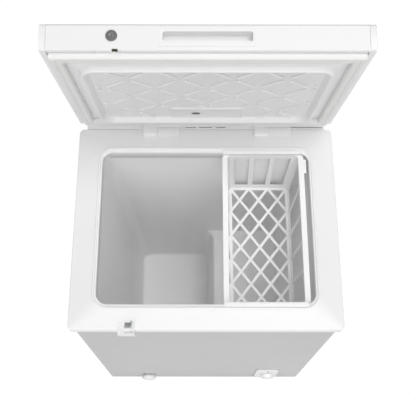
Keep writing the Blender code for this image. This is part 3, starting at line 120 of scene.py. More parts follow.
@dataclass
class Graph:
    """A node tree while it is being wired."""

    tree: bpy.types.NodeTree

    def node(self, kind: str, **inputs: object) -> bpy.types.Node:
        """Add a node and set its named inputs.

        Args:
            kind: the node's Blender type.
            inputs: values of inputs, with underscores for the spaces in their names.

        Returns:
            The new node.
        """
        made = self.tree.nodes.new(kind)
        for name, value in inputs.items():
            made.inputs[name.replace("_", " ")].default_value = value
        return made

    def link(self, start: bpy.types.NodeSocket, end: bpy.types.NodeSocket) -> None:
        """Wire an output to an input."""
        self.tree.links.new(start, end)

    def calculate(self, operation: str, *values: object) -> bpy.types.NodeSocket:
        """Add a sum of outputs and numbers.

        Args:
            operation: the kind of Math node.
            values: an output or a number for each input.

        Returns:
            The result.
        """
        step = self.node("ShaderNodeMath")
        step.operation = operation
        for socket, value in zip(step.inputs, values):
            if isinstance(value, bpy.types.NodeSocket):
                self.link(value, socket)
            else:
                socket.default_value = value
        return step.outputs[0]

    def noise(self, scale: bpy.types.NodeSocket, **inputs: object) -> bpy.types.NodeSocket:
        """Add a noise on Object coordinates.

        Args:
            scale: the output that sets its scale.
            inputs: its other inputs, as for a node.

        Returns:
            Its value.
        """
        place = self.node("ShaderNodeTexCoord")
        made = self.node("ShaderNodeTexNoise", **inputs)
        self.link(place.outputs["Object"], made.inputs["Vector"])
        self.link(scale, made.inputs["Scale"])
        return made.outputs["Fac"]


class Effects:
    """Shader node groups that several finishes share, each built once."""

    @staticmethod
    def _start(name: str, inputs: Sequence[tuple[str, str, object]],
               output: tuple[str, str]) -> Optional[Graph]:
        """Open a new group with its sockets, or nothing if it exists already.

        Args:
            name: the group's name.
            inputs: (name, socket type, default) of each input.
            output: (name, socket type) of the output.

        Returns:
            The graph to wire, or None.
        """
        if name in bpy.data.node_groups:
            return None
        tree = bpy.data.node_groups.new(name, "ShaderNodeTree")
        for label, kind, default in inputs:
            socket = tree.interface.new_socket(label, in_out="INPUT", socket_type=kind)
            socket.default_value = default
        tree.interface.new_socket(output[0], in_out="OUTPUT", socket_type=output[1])
        return Graph(tree)

    @classmethod
    def mottle(cls) -> bpy.types.NodeTree:
        """Slow drift of a colour's lightness over a surface, as moulding and paint leave it."""
        graph = cls._start(
            "mottle",
            [("Colour", "NodeSocketColor", (0.8, 0.8, 0.8, 1)), ("Scale", "NodeSocketFloat", 6.0),
             ("Amount", "NodeSocketFloat", 0.02)],
            ("Colour", "NodeSocketColor"))
        if graph:
            entry = graph.node("NodeGroupInput")
            wide = graph.noise(entry.outputs["Scale"], Detail=3.0, Roughness=0.55)
            shade = graph.calculate("SUBTRACT", wide, 0.5)
            lift = graph.calculate("ADD", graph.calculate("MULTIPLY", shade, entry.outputs["Amount"]), 1.0)
            tint = graph.node("ShaderNodeHueSaturation")
            leave = graph.node("NodeGroupOutput")
            graph.link(lift, tint.inputs["Value"])
            graph.link(entry.outputs["Colour"], tint.inputs["Color"])
            graph.link(tint.outputs["Color"], leave.inputs["Colour"])
        return bpy.data.node_groups["mottle"]

    @classmethod
    def handling(cls) -> bpy.types.NodeTree:
        """Roughness that drifts where hands and cloths have rubbed a surface."""
        graph = cls._start(
            "handling",
            [("Roughness", "NodeSocketFloat", 0.4), ("Scale", "NodeSocketFloat", 9.0),
             ("Amount", "NodeSocketFloat", 0.1)],
            ("Roughness", "NodeSocketFloat"))
        if graph:
            entry = graph.node("NodeGroupInput")
            smear = graph.noise(entry.outputs["Scale"], Detail=5.0, Roughness=0.62, Distortion=0.8)
            spread = graph.node("ShaderNodeMapRange", To_Min=-0.5, To_Max=0.5)
            leave = graph.node("NodeGroupOutput")
            graph.link(smear, spread.inputs["Value"])
            scaled = graph.calculate("MULTIPLY_ADD", spread.outputs["Result"], entry.outputs["Amount"],
                                     entry.outputs["Roughness"])
            graph.link(scaled, leave.inputs["Roughness"])
        return bpy.data.node_groups["handling"]

    @classmethod
    def relief(cls, pattern: Pattern) -> bpy.types.NodeTree:
        """Fine height of a surface.

        Args:
            pattern: how the relief runs.

        Returns:
            The group, with a Scale input and a Height output.
        """
        name = f"relief_{pattern.name.lower()}"
        graph = cls._start(name, [("Scale", "NodeSocketFloat", 600.0)], ("Height", "NodeSocketFloat"))
        if graph:
            entry = graph.node("NodeGroupInput")
            place = graph.node("ShaderNodeTexCoord")
            aim = graph.node("ShaderNodeMapping")
            if pattern is Pattern.BRUSHED:
                aim.inputs["Scale"].default_value = (0.04, 1.0, 1.0)
            if pattern in (Pattern.SPANGLE, Pattern.CELLS):
                grain = graph.node("ShaderNodeTexVoronoi")
                grain.feature = "F1" if pattern is Pattern.SPANGLE else "SMOOTH_F1"
                height = grain.outputs["Distance"]
            else:
                grain = graph.node("ShaderNodeTexNoise", Detail=2.0, Roughness=0.5)
                height = grain.outputs["Fac"]
            leave = graph.node("NodeGroupOutput")
            graph.link(place.outputs["Object"], aim.inputs["Vector"])
            graph.link(aim.outputs["Vector"], grain.inputs["Vector"])
            graph.link(entry.outputs["Scale"], grain.inputs["Scale"])
            graph.link(height, leave.inputs["Height"])
        return bpy.data.node_groups[name]


@dataclass(frozen=True)
class Finish:
    """One surface finish: colour drift, rubbed roughness and fine relief under a Principled shader."""

    name: str
    slot: Slot
    colour: Colour
    roughness: float
    metallic: float = 0.0
    coat: float = 0.0
    coat_roughness: float = 0.12
    specular: float = 0.5
    drift: float = 0.03
    drift_scale: float = 7.0
    rubbed: float = 0.1
    pattern: Pattern = Pattern.PEEL
    grain: float = 700.0
    depth: float = 0.12
    height: float = 0.0004

    def make(self) -> bpy.types.Material:
        """Build the material the first time it is asked for.

        Returns:
            The material.
        """
        found = bpy.data.materials.get(self.name)
        if found:
            return found
        made = bpy.data.materials.new(self.name)
        made.use_nodes = True
        graph = Graph(made.node_tree)
        shader = made.node_tree.nodes["Principled BSDF"]
        settings = {"Metallic": self.metallic, "Coat Weight": self.coat,
                    "Coat Roughness": self.coat_roughness, "Specular IOR Level": self.specular}
        for label, value in settings.items():
            shader.inputs[label].default_value = value
        tone = self._group(graph, Effects.mottle())
        tone.inputs["Colour"].default_value = (*self.colour, 1.0)
        tone.inputs["Scale"].default_value = self.drift_scale
        tone.inputs["Amount"].default_value = self.drift
        graph.link(tone.outputs["Colour"], shader.inputs["Base Color"])
        rub = self._group(graph, Effects.handling())
        rub.inputs["Roughness"].default_value = self.roughness
        rub.inputs["Amount"].default_value = self.rubbed
        graph.link(rub.outputs["Roughness"], shader.inputs["Roughness"])
        relief = self._group(graph, Effects.relief(self.pattern))
        relief.inputs["Scale"].default_value = self.grain
        bump = graph.node("ShaderNodeBump", Strength=self.depth, Distance=self.height)
        graph.link(relief.outputs["Height"], bump.inputs["Height"])
        graph.link(bump.outputs["Normal"], shader.inputs["Normal"])
        return made

    @staticmethod
    def _group(graph: Graph, tree: bpy.types.NodeTree) -> bpy.types.Node:
        """Place a shared effect in a material."""
        node = graph.node("ShaderNodeGroup")
        node.node_tree = tree
        return node


class Finishes:
    """Every finish of the freezer."""

    # Painted shade: the enamel's real white is darkened to a mid grey, standing in for the shade on the
    # cabinet's vertical faces.
    ENAMEL = Finish("white_enamel_painted_shade", Slot.WHITE_PAINT, (0.47, 0.47, 0.47), 0.32, coat=0.25, drift=0.02,
                    rubbed=0.08, grain=900, depth=0.1)
    PLASTIC = Finish("white_moulding", Slot.WHITE_PLASTIC, (0.88, 0.88, 0.88), 0.38, drift=0.015,
                     rubbed=0.1, grain=1300, depth=0.08)
    DISH = Finish("lid_dish", Slot.WHITE_PLASTIC, (0.88, 0.88, 0.88), 0.42, drift=0.02, rubbed=0.1,
                  grain=1100, depth=0.1)
    BASKET = Finish("basket_moulding", Slot.BASKET_PLASTIC, (0.9, 0.9, 0.9), 0.4, drift=0.02, rubbed=0.12,
                    grain=1000, depth=0.1)
    LINER = Finish("liner_enamel", Slot.LINER_PAINT, (0.9, 0.9, 0.9), 0.42, drift=0.03, rubbed=0.12,
                   grain=420, depth=0.16)
    GASKET = Finish("gasket_vinyl", Slot.GASKET_VINYL, (0.74, 0.74, 0.735), 0.55, drift=0.02, grain=1600,
                    depth=0.1)
    PLATED = Finish("plated_steel", Slot.PLATED_STEEL, (0.56, 0.57, 0.58), 0.3, metallic=1.0,
                    pattern=Pattern.BRUSHED, grain=2600, depth=0.25)
    DARK_PLATED = Finish("lock_steel", Slot.PLATED_STEEL, (0.20, 0.20, 0.205), 0.42, metallic=0.6,
                         pattern=Pattern.BRUSHED, grain=2200)
    ZINC = Finish("zinc_coat", Slot.GALVANISED, (0.6, 0.62, 0.63), 0.42, metallic=1.0, drift=0.25,
                  drift_scale=40, pattern=Pattern.SPANGLE, grain=90, depth=0.35)
    COPPER = Finish("drawn_copper", Slot.COPPER, (0.72, 0.42, 0.28), 0.34, metallic=1.0, drift=0.2,
                    drift_scale=30, pattern=Pattern.BRUSHED, grain=1800)
    BLACK_PAINT = Finish("black_enamel", Slot.BLACK_PAINT, (0.025, 0.025, 0.027), 0.4, coat=0.2, drift=0.1,
                         grain=500, depth=0.25)
    BLACK_PLASTIC = Finish("black_moulding", Slot.BLACK_PLASTIC, (0.045, 0.045, 0.047), 0.52, drift=0.1,
                           grain=1400, depth=0.3)
    RUBBER = Finish("black_rubber", Slot.BLACK_RUBBER, (0.035, 0.035, 0.036), 0.78, drift=0.15, grain=1500,
                    depth=0.3)
    FOAM = Finish("rigid_foam", Slot.FOAM, (0.82, 0.74, 0.5), 0.92, drift=0.25, drift_scale=30,
                  pattern=Pattern.CELLS, grain=700, depth=0.7)
    LENS = Finish("green_lens", Slot.LAMP_LENS, (0.08, 0.42, 0.16), 0.18, coat=0.6, drift=0.05, grain=800)
    # Painted shade: a near-black finish for the sheet under the rear vents, standing in for the shade seen
    # through them.
    SHADOW = Finish("painted_vent_shade", Slot.BLACK_PLASTIC, (0.06, 0.06, 0.062), 0.7, drift=0.1, grain=900)


class Layout:
    """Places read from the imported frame."""

    collar_low, collar_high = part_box("top_frame")
    ridge = 3 * MM
    hinge = next(joint for joint in frame["joints"] if joint["name"] == "lid_hinge")

    @classmethod
    def plan(cls, x: float, y: float, z: float) -> Vector:
        """A point of the cabinet's plan: millimetres from the middle, the front edge and the top face."""
        return Vector((x * MM, cls.collar_low.y + y * MM, cls.collar_high.z - cls.ridge + z * MM))

    @classmethod
    def cabinet(cls) -> Matrix:
        """Turns the cabinet's plan, in metres, into the row frame."""
        return Matrix.Translation(cls.plan(0, 0, 0))

    @classmethod
    def lid(cls) -> Matrix:
        """Turns the same plan, with the lid shut, into the row frame with the lid open."""
        pin = Vector(cls.hinge["pos_m"])
        swing = Matrix.Rotation(-math.radians(cls.hinge["range_deg"][1]), 4, Vector(cls.hinge["axis"]))
        return Matrix.Translation(pin) @ swing @ Matrix.Translation(-pin) @ cls.cabinet()


@dataclass(frozen=True)
class RoundRect:
    """A rectangle with round corners at one height, in metres."""

    low_x: float
    high_x: float
    low_y: float
    high_y: float
    z: float
    radius: float

    def grown(self, side: float, ends: Optional[float] = None, z: float = 0.0,
              radius: Optional[float] = None) -> "RoundRect":
        """The same rectangle let out by millimetres at its sides and ends, at another height.

        Args:
            side: how far left and right go out.
            ends: how far front and back go out, if that differs.
            z: the new height.
            radius: the new corner radius, or the old one let out as well.

        Returns:
            The new rectangle.
        """
        along = side if ends is None else ends
        corner = self.radius + min(side, along) * MM if radius is None else radius * MM
        return RoundRect(self.low_x - side * MM, self.high_x + side * MM, self.low_y - along * MM,
                         self.high_y + along * MM, z * MM, max(corner, 0.8 * MM))

    def face(self, bm: bmesh.types.BMesh, segments: int) -> bmesh.types.BMFace:
        """Add the rectangle as one face.

        Args:
            bm: the mesh to add it to.
            segments: sides of each round corner.

        Returns:
            The face.
        """
        before = set(bm.faces)
        centre = ((self.low_x + self.high_x) / 2, (self.low_y + self.high_y) / 2, self.z)
        size = (self.high_x - self.low_x, self.high_y - self.low_y, 1, 1)
        made = bmesh.ops.create_grid(bm, x_segments=1, y_segments=1, size=0.5,
                                     matrix=Matrix.Translation(centre) @ Matrix.Diagonal(size))
        bmesh.ops.bevel(bm, geom=made["verts"], offset=self.radius, offset_type="OFFSET", segments=segments,
                        profile=0.5, affect="VERTICES", material=-1)
        return next(face for face in bm.faces if face not in before)

    def outline(self, segments: int) -> list[Vector]:
        """The rectangle's corners in order, in metres.

        Args:
            segments: sides of each round corner.

        Returns:
            The points.
        """
        scratch = bmesh.new()
        points = [vert.co.copy() for vert in self.face(scratch, segments).verts]
        scratch.free()
        return points


@dataclass(frozen=True)
class Ease:
    """Small round on the sharp edges of a piece."""

    width: float = 0.6 * MM
    segments: int = 2
    angle: float = 30.0

    def on(self, obj: bpy.types.Object) -> None:
        """Put it on as a Bevel modifier."""
        step = obj.modifiers.new("eased_edges", "BEVEL")
        step.width = self.width
        step.segments = self.segments
        step.limit_method = "ANGLE"
        step.angle_limit = math.radians(self.angle)
        step.use_clamp_overlap = True


@dataclass(frozen=True)
class Fit:
    """Who a piece is: its name, body, finish and the nodes that it stands for."""

    name: str
    body: Body
    finish: Finish
    replaces: tuple[str, ...] = ()

    def publish(self, bm: bmesh.types.BMesh, ease: Optional[Ease] = None, angle: float = 40.0,
                place: Optional[Matrix] = None, inside_out: bool = True) -> bpy.types.Object:
        """Turn a bmesh into a finished piece that rides on its body.

        Args:
            bm: the shape, which is freed.
            ease: the round on its sharp edges, if any.
            angle: the angle over which an edge shows as an edge.
            place: where the shape goes.
            inside_out: whether its faces still have to be turned outward.

        Returns:
            The piece.
        """
        if place is not None:
            bmesh.ops.transform(bm, matrix=place, verts=bm.verts)
        if inside_out:
            bmesh.ops.remove_doubles(bm, verts=bm.verts, dist=1e-6)
            bmesh.ops.recalc_face_normals(bm, faces=bm.faces)
        mesh = bpy.data.meshes.new(self.name)
        bm.to_mesh(mesh)
        bm.free()
        mesh.shade_smooth()
        mesh.set_sharp_from_angle(angle=math.radians(angle))
        obj = bpy.data.objects.new(self.name, mesh)
        bpy.context.scene.collection.objects.link(obj)
        mesh.materials.append(self.finish.make())
        if ease:
            ease.on(obj)
        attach(obj, self.body.value)
        if self.replaces:
            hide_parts(*self.replaces)
        LOG.info("%s rides on %s, %d faces", self.name, self.body.value, len(mesh.polygons))
        return obj


def loft(bm: bmesh.types.BMesh, loops: Sequence[RoundRect], closed: bool = False, caps: bool = False,
         segments: int = 10) -> None:
    """Join rounded rectangles in turn: each ring is extruded from the one before and laid on its outline.

    Args:
        bm: the mesh to add them to.
        loops: the rectangles.
        closed: whether the last joins the first.
        caps: whether the first and last are filled.
        segments: sides of each round corner.
    """
    outlines = [loop.outline(segments) for loop in loops]
    start = loops[0].face(bm, segments)
    ring = list(start.verts)
    if not caps:
        bmesh.ops.delete(bm, geom=[start], context="FACES_ONLY")
    for outline in outlines[1:] + outlines[:closed]:
        made = bmesh.ops.extrude_edge_only(bm, edges=ring_edges(ring))
        fresh = {item for item in made["geom"] if isinstance(item, bmesh.types.BMVert)}
        ring = [next(edge.other_vert(vert) for edge in vert.link_edges if edge.other_vert(vert) in fresh)
                for vert in ring]
        for vert, point in zip(ring, outline):
            vert.co = point
    if caps:
        bmesh.ops.edgeloop_fill(bm, edges=ring_edges(ring))


def ring_edges(ring: Sequence[bmesh.types.BMVert]) -> list[bmesh.types.BMEdge]:
    """The edges between neighbours of a closed ring of vertices."""
    return [next(edge for edge in one.link_edges if edge.other_vert(one) is two)
            for one, two in zip(ring, list(ring[1:]) + [ring[0]])]


def soft_block(bm: bmesh.types.BMesh, low: Vector, high: Vector, radius: float, segments: int = 3,
               turn: float = 0.0) -> list[bmesh.types.BMVert]:
    """Add a block with round edges.

    Args:
        bm: the mesh to add it to.
        low: its lowest corner.
        high: its highest corner.
        radius: of the round on every edge.
        segments: steps of that round.
        turn: angle that it is turned by in plan, about its middle, in radians.

    Returns:
        The vertices of the block.
    """
    before = set(bm.verts)
    size = high - low
    place = Matrix.Translation((low + high) / 2) @ Matrix.Rotation(turn, 4, "Z")
    made = bmesh.ops.create_cube(bm, size=1, matrix=place @ Matrix.Diagonal((*size, 1)))
    edges = list({edge for vert in made["verts"] for edge in vert.link_edges})
    bmesh.ops.bevel(bm, geom=edges, offset=radius, offset_type="OFFSET", segments=segments, profile=0.5,
                    affect="EDGES", material=-1)
    return [vert for vert in bm.verts if vert not in before]


def slab(bm: bmesh.types.BMesh, low: tuple[float, float, float], high: tuple[float, float, float],
         radius: float) -> None:
    """Add a block with round edges, from two opposite corners in millimetres."""
    soft_block(bm, Vector(low) * MM, Vector(high) * MM, radius * MM)


@dataclass(frozen=True)
class Softened:
    """A node's own shape, merged from its triangles, with its edges eased."""

    node: str
    body: Body
    finish: Finish
    ease: Optional[Ease] = Ease()
    angle: float = 40.0
    flat: bool = True

    def build(self) -> bpy.types.Object:
        """Make the piece and let it stand for its node.

        Returns:
            The piece.
        """
        bm = bmesh.new()
        bm.from_mesh(frame["nodes"][self.node].data)
        bmesh.ops.remove_doubles(bm, verts=bm.verts, dist=1e-5)
        if self.flat:
            bmesh.ops.dissolve_limit(bm, angle_limit=math.radians(0.6), use_dissolve_boundaries=False,
                                     verts=bm.verts, edges=bm.edges, delimit=set())
        fit = Fit(f"{self.node}_shown", self.body, self.finish, (self.node,))
        return fit.publish(bm, self.ease, self.angle, inside_out=False)


def soften(body: Body, finish: Finish, rounds: dict[str, float], segments: int = 2) -> None:
    """Ease several nodes of one body and one finish.

    Args:
        body: what they move with.
        finish: their finish.
        rounds: each node with the width of the round on its edges, in millimetres.
        segments: steps of the round.
    """
    for node, width in rounds.items():
        Softened(node, body, finish, Ease(width * MM, segments)).build()


@dataclass
class Collar:
    """The moulded frame round the mouth, with its raised ridge and the drop into the well."""

    side: float = 60.0
    front: float = 59.0
    back: float = 63.0
    corner: float = 26.0
    foot_corner: float = 7.0
    rim_corner: float = 12.0
    skirt: float = 22.0
    drop: float = 31.0
    wall: float = 2.4
    ridge_side: float = 9.0
    ridge_ends: float = 12.3
    ridge_width: float = 5.0
    edge_round: float = 2.8

    def mouth(self) -> RoundRect:
        """The mouth's edge, in the cabinet's plan."""
        low, high = Layout.collar_low, Layout.collar_high
        half = (high.x - low.x) / 2 - self.side * MM
        return RoundRect(-half, half, self.front * MM, high.y - low.y - self.back * MM, 0, self.corner * MM)

    def rim(self) -> RoundRect:
        """The collar's outer edge, in the cabinet's plan."""
        low, high = Layout.collar_low, Layout.collar_high
        return RoundRect(low.x, high.x, 0, high.y - low.y, 0, self.rim_corner * MM)

    def build(self) -> None:
        """Loft the collar's section round both rectangles."""
        rim, mouth = self.rim(), self.mouth()
        side, ends, wide = self.ridge_side, self.ridge_ends, self.ridge_width
        edge = ((0, -self.skirt), (0, -3), (-0.35, -1.6), (-1.2, -0.6), (-3, 0))
        loops = [rim.grown(out, z=z) for out, z in edge]
        for out, z in ((1.6, 0), (0.6, 0.5), (0.1, 1.6), (-0.3, 2.4), (-1.2, 3), (-wide + 1, 3),
                       (-wide + 0.3, 2.4), (-wide, 1.2), (-wide - 0.4, 0.3), (-wide - 1, 0)):
            if side + out > self.edge_round:
                loops.append(mouth.grown(side + out, ends + out, z))
        for out, z in ((2.6, 0), (1.2, -0.3), (0.35, -1.1), (0, -2.6)):
            loops.append(mouth.grown(out, z=z))
        foot = self.foot_corner
        for out, z, corner in ((0, -self.drop + 0.6, foot), (0.6, -self.drop, foot + 0.6),
                               (self.wall, -self.drop, foot + self.wall),
                               (self.wall, -self.wall, self.corner)):
            loops.append(mouth.grown(out, z=z, radius=corner))
        loops += [rim.grown(-self.wall, z=-self.wall), rim.grown(-self.wall, z=-self.skirt)]
        bm = bmesh.new()
        loft(bm, loops, closed=True)
        fit = Fit("collar", Body.CABINET, Finishes.PLASTIC, ("top_frame",))
        fit.publish(bm, place=Layout.cabinet(), angle=50)


@dataclass
class Cabinet:
    """The folded shell, back sheet, base pan and feet."""

    def build(self) -> None:
        """Ease the sheet work and dress it."""
        soften(Body.CABINET, Finishes.ENAMEL, {"cabinet_shell": 0.5, "back_panel": 0.3})
        soften(Body.CABINET, Finishes.ZINC, {"base_pan": 0.4})
        corners = [(along, across) for along in ("front", "back") for across in ("left", "right")]
        feet = {f"foot_{along}_{across}": 1.5 for along, across in corners}
        soften(Body.CABINET, Finishes.BLACK_PLASTIC, feet, 3)


@dataclass
class Liner:
    """The drafted tub, with the step over the machine bay at its right end."""

    sheet: float = 1.5
    corner: float = 27.0
    floor_side: float = 53.5
    floor_ends: float = 41.0
    brim: float = 12.0
    step_left: float = 26.0
    step_top: float = 525.0
    step_draft: float = 11.0
    step_round: float = 7.0

    def floor(self) -> float:
        """How far the floor lies under the collar's face, in millimetres."""
        low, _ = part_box("inner_liner")
        return (Layout.collar_high.z - Layout.ridge - low.z) / MM - self.sheet

    def level(self, down: float, right: Optional[float] = None, outward: float = 0.0) -> RoundRect:
        """The tub's inner face at a depth.

        Args:
            down: millimetres under the collar's face.
            right: where the right wall is, if not at the tub's own wall.
            outward: how far outside that face.

        Returns:
            The rectangle.
        """
        low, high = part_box("inner_liner")
        front, back = low.y - Layout.collar_low.y, high.y - Layout.collar_low.y
        share = (down - self.brim) / (self.floor() - self.brim)
        tub = RoundRect(low.x, high.x, front, back, 0, 0).grown(
            outward - self.sheet - self.floor_side * share, outward - self.sheet - self.floor_ends * share,
            -down, self.corner + outward)
        return tub if right is None else replace(tub, high_x=right * MM)

    def face(self, outward: float) -> list[RoundRect]:
        """One face of the tub, from the floor up over the step to the brim.

        Args:
            outward: how far outside the inner face it lies.

        Returns:
            Its levels.
        """
        floor = self.floor()
        levels = []
        for up, inward in ((0, 10), (1, 6), (3, 3), (6, 1), (10, 0)):
            down = floor + outward - up
            wall = self.step_left - self.step_draft * (1 - up / (floor - self.step_top)) + outward
            ring = self.level(down, wall - inward, outward).grown(-inward, z=-down, radius=self.corner)
            levels.append(replace(ring, high_x=(wall - inward) * MM))
        for drop, beside in ((self.step_round, 0), (2, 2), (0.6, 4.2), (0, 7)):
            wall = self.step_left + outward + beside
            levels.append(self.level(self.step_top + drop - outward, wall, outward))
        for up, inward in ((0.05, 4), (1.2, 1.2), (4, 0)):
            ring = self.level(self.step_top - up - outward, None, outward)
            levels.append(replace(ring, high_x=ring.high_x - inward * MM))
        return levels + [self.level(self.brim, None, outward)]

    def build(self) -> None:
        """Loft the inner face upward, then the outer face back down."""
        loops = self.face(0.0) + self.face(self.sheet)[::-1]
        bm = bmesh.new()
        loft(bm, loops, caps=True, segments=6)
        fit = Fit("liner_tub", Body.CABINET, Finishes.LINER, ("inner_liner",))
        fit.publish(bm, place=Layout.cabinet(), angle=35)


@dataclass
class RearStrip:
    """The narrow ledge behind the frame's back edge, with its three short vents and one long one."""

    reach: float = 14.5
    thick: float = 11.0
    half: float = 292.0
    gap: float = 0.4
    top: float = -0.8
    slot_near: float = 4.2
    slot_far: float = 6.8
    shade_sheet_left: float = -60.0
    slots: tuple[tuple[float, float], ...] = ((-49.5, -23.7), (-15.8, 15.9), (25.8, 49.5), (211.0, 288.0))

    def build(self) -> None:
        """Make the ledge from two rails and the bridges between the vents, and a dark sheet under them as
        painted shade seen through the vents.
        """
        back = (Layout.collar_high.y - Layout.collar_low.y) / MM + self.gap
        top, foot = self.top, self.top - self.thick
        near, far = back + self.slot_near, back + self.slot_far
        bm = bmesh.new()
        for low, high in ((back, near), (far, back + self.reach)):
            slab(bm, (-self.half, low, foot), (self.half, high, top), 0.5)
        ends = [-self.half, *(edge for slot in self.slots for edge in slot), self.half]
        for left, right in zip(ends[::2], ends[1::2]):
            slab(bm, (left, near - 1, foot), (right, far + 1, top - 0.05), 0.3)
        Fit("rear_ledge", Body.CABINET, Finishes.PLASTIC).publish(bm, place=Layout.cabinet())
        # Painted shade: a dark sheet under the vents, so that they show dark.
        under = bmesh.new()
        slab(under, (self.shade_sheet_left, near - 0.5, top - 9), (self.half - 2, far + 0.5, top - 4), 0.3)
        fit = Fit("rear_vent_screen", Body.CABINET, Finishes.SHADOW)
        fit.publish(under, place=Layout.cabinet())


@dataclass
class LidDish:
    """The moulded dish under the lid: rim, plug, recessed panel, raised lattice and badge field."""

    mouth: RoundRect
    rim_out: float = 42.0
    plug_corner: float = 30.0
    sheet: float = 2.0
    pitch_across: float = 105.4
    pitch_along: float = 55.7
    first_row: float = 359.5
    rows: int = 6
    panel: float = 7.0
    rib_wide: float = 6.0
    rib_high: float = 4.0
    rib_gap: float = 11.0
    rib_round: float = 1.9
    rim_face: float = 12.85
    badge_clear: tuple[float, float, float, float] = (-92.0, 97.0, 172.0, 76.0)

    def profile(self, up: float) -> list[tuple[float, float]]:
        """(distance outside the mouth, height) from the plug's base to the panel, in millimetres.

        Args:
            up: how far the sheet's other face lies above this one.

        Returns:
            The section's points.
        """
        if up:
            return [(13, 14.85), (3, 10.7), (-6.5, 7.3), (-9.5, -2.4), (-10.1, -5), (-11.5, -5), (-18.5, 9)]
        return [(14, 12.85), (10, 11.6), (4, 9), (-1, 7.4), (-4, 5.6), (-5.4, 3.2), (-7.2, -3.5),
                (-7.7, -5.6), (-8.8, -6.8), (-10.5, -7), (-12.3, -6.6), (-13.6, -5.2), (-18, 4.2),
                (-19, 6), (-21, 7)]

    def build(self) -> None:
        """Make the dish and what stands on its panel."""
        outer = self.mouth.grown(self.rim_out, z=self.rim_face, radius=4)
        under, over = ([self.mouth.grown(out, z=z, radius=self.plug_corner) for out, z in self.profile(up)]
                       for up in (0, self.sheet))
        back = replace(outer, z=(self.rim_face + self.sheet) * MM)
        bm = bmesh.new()
        loft(bm, under[::-1] + [outer, back] + over, caps=True, segments=12)
        fit = Fit("lid_dish", Body.LID, Finishes.DISH, ("lid_liner",))
        fit.publish(bm, place=Layout.lid(), angle=50)
        self.lattice()
        self.badge_field()

    def pin(self) -> float:
        """How far behind the front edge the hinge lies, in millimetres."""
        return (Layout.hinge["pos_m"][1] - Layout.collar_low.y) / MM

    def lattice(self) -> None:
        """Short raised ribs that almost meet in a diamond lattice."""
        bm = bmesh.new()
        field = self.mouth.grown(-24)
        left, right, front, back = self.badge_clear
        keep_out = (left * MM, right * MM, (self.pin() - front) * MM, (self.pin() - back) * MM)
        slant = math.hypot(self.pitch_across / 2, self.pitch_along)
        length = (slant - 2 * self.rib_gap) * MM
        for row in range(-2, self.rows + 1):
            for column in range(-3, 4):
                x = (column + (0.5 if row % 2 == 0 else 0.0)) * self.pitch_across
                y = self.pin() - self.first_row + row * self.pitch_along
                for way in (-1, 1):
                    middle = Vector((x + way * self.pitch_across / 4, y + self.pitch_along / 2, 0)) * MM
                    turn = math.atan2(self.pitch_along, way * self.pitch_across / 2)
                    self.rib(bm, middle, turn, length, field, keep_out)
        fit = Fit("lid_lattice", Body.LID, Finishes.DISH)
        fit.publish(bm, place=Layout.lid(), angle=40)

    def rib(self, bm: bmesh.types.BMesh, middle: Vector, turn: float, length: float, field: RoundRect,
            keep_out: tuple[float, float, float, float]) -> None:
        """Add one rib, cut back to the panel and clear of the badge field.

        Args:
            bm: the mesh to add it to.
            middle: its middle in the lid's plan.
            turn: its direction in plan.
            length: its whole length.
            field: the panel that it has to stay on.
            keep_out: low x, high x, low y and high y of the badge field.
        """
        run = Vector((math.cos(turn), math.sin(turn), 0))
        steps = [middle + run * length * (i / 24 - 0.5) for i in range(25)]
        inside = [step for step in steps
                  if field.low_x < step.x < field.high_x and field.low_y < step.y < field.high_y
                  and not (keep_out[0] < step.x < keep_out[1] and keep_out[2] < step.y < keep_out[3])]
        if len(inside) < 4:
            return
        centre, size = (inside[0] + inside[-1]) / 2, (inside[-1] - inside[0]).length
        top, low = (self.panel + 0.3) * MM, (self.panel - self.rib_high) * MM
        half = Vector((size / 2, self.rib_wide / 2 * MM, 0))
        soft_block(bm, centre - half + Vector((0, 0, low)), centre + half + Vector((0, 0, top)),
                   self.rib_round * MM, 4, turn)

    def badge_field(self) -> None:
        """The raised plain field near the hinge, with a shallow recess and a plain oval."""
        back, front = self.pin() - 86, self.pin() - 160
        plate = RoundRect(-80 * MM, 86 * MM, front * MM, back * MM, self.panel * MM, 6 * MM)
        heights = ((0, 0.3), (0, -1.6), (-0.5, -2.6), (-1.6, -3), (-4.5, -3), (-5.6, -2.7), (-6.2, -1.8),
                   (-7, -1.4))
        bm = bmesh.new()
        loft(bm, [plate.grown(out, z=self.panel + z) for out, z in heights], caps=True, segments=6)
        fit = Fit("lid_badge_field", Body.LID, Finishes.DISH)
        fit.publish(bm, place=Layout.lid(), angle=50)
        oval = bmesh.new()
        stretch = Matrix.Translation(Vector((-23.5, self.pin() - 120, self.panel - 1.6)) * MM)
        bmesh.ops.create_uvsphere(oval, u_segments=32, v_segments=12, radius=1,
                                  matrix=stretch @ Matrix.Diagonal((10.5 * MM, 8 * MM, 1.1 * MM, 1)))
        fit = Fit("lid_badge_oval", Body.LID, replace(Finishes.DARK_PLATED, name="badge_grey"))
        fit.publish(oval, place=Layout.lid())


@dataclass
class Seal:
    """The soft magnetic gasket round the dish."""

    mouth: RoundRect
    out: float = 41.4
    inner: float = 18.0

    def build(self) -> None:
        """Loft the gasket's section round the lid."""
        out, inner = self.out, self.inner
        section = [(out - 0.4, 12.5), (out, 11), (out, 3.6), (out - 0.8, 1.6), (out - 2.6, 0.5),
                   (out - 8, 0.4), (out - 9.6, 0.9), (out - 10.6, 2.6), (out - 12, 3), (out - 13, 2.6),
                   (out - 14, 0.9), (out - 15.4, 0.4), (inner + 2.4, 0.4), (inner + 0.9, 1.2),
                   (inner, 3.4), (inner + 0.4, 12.5)]
        bm = bmesh.new()
        loft(bm, [self.mouth.grown(o, z=z, radius=4) for o, z in section], closed=True, segments=3)
        fit = Fit("seal", Body.LID, Finishes.GASKET, ("lid_gasket",))
        fit.publish(bm, place=Layout.lid(), angle=50)


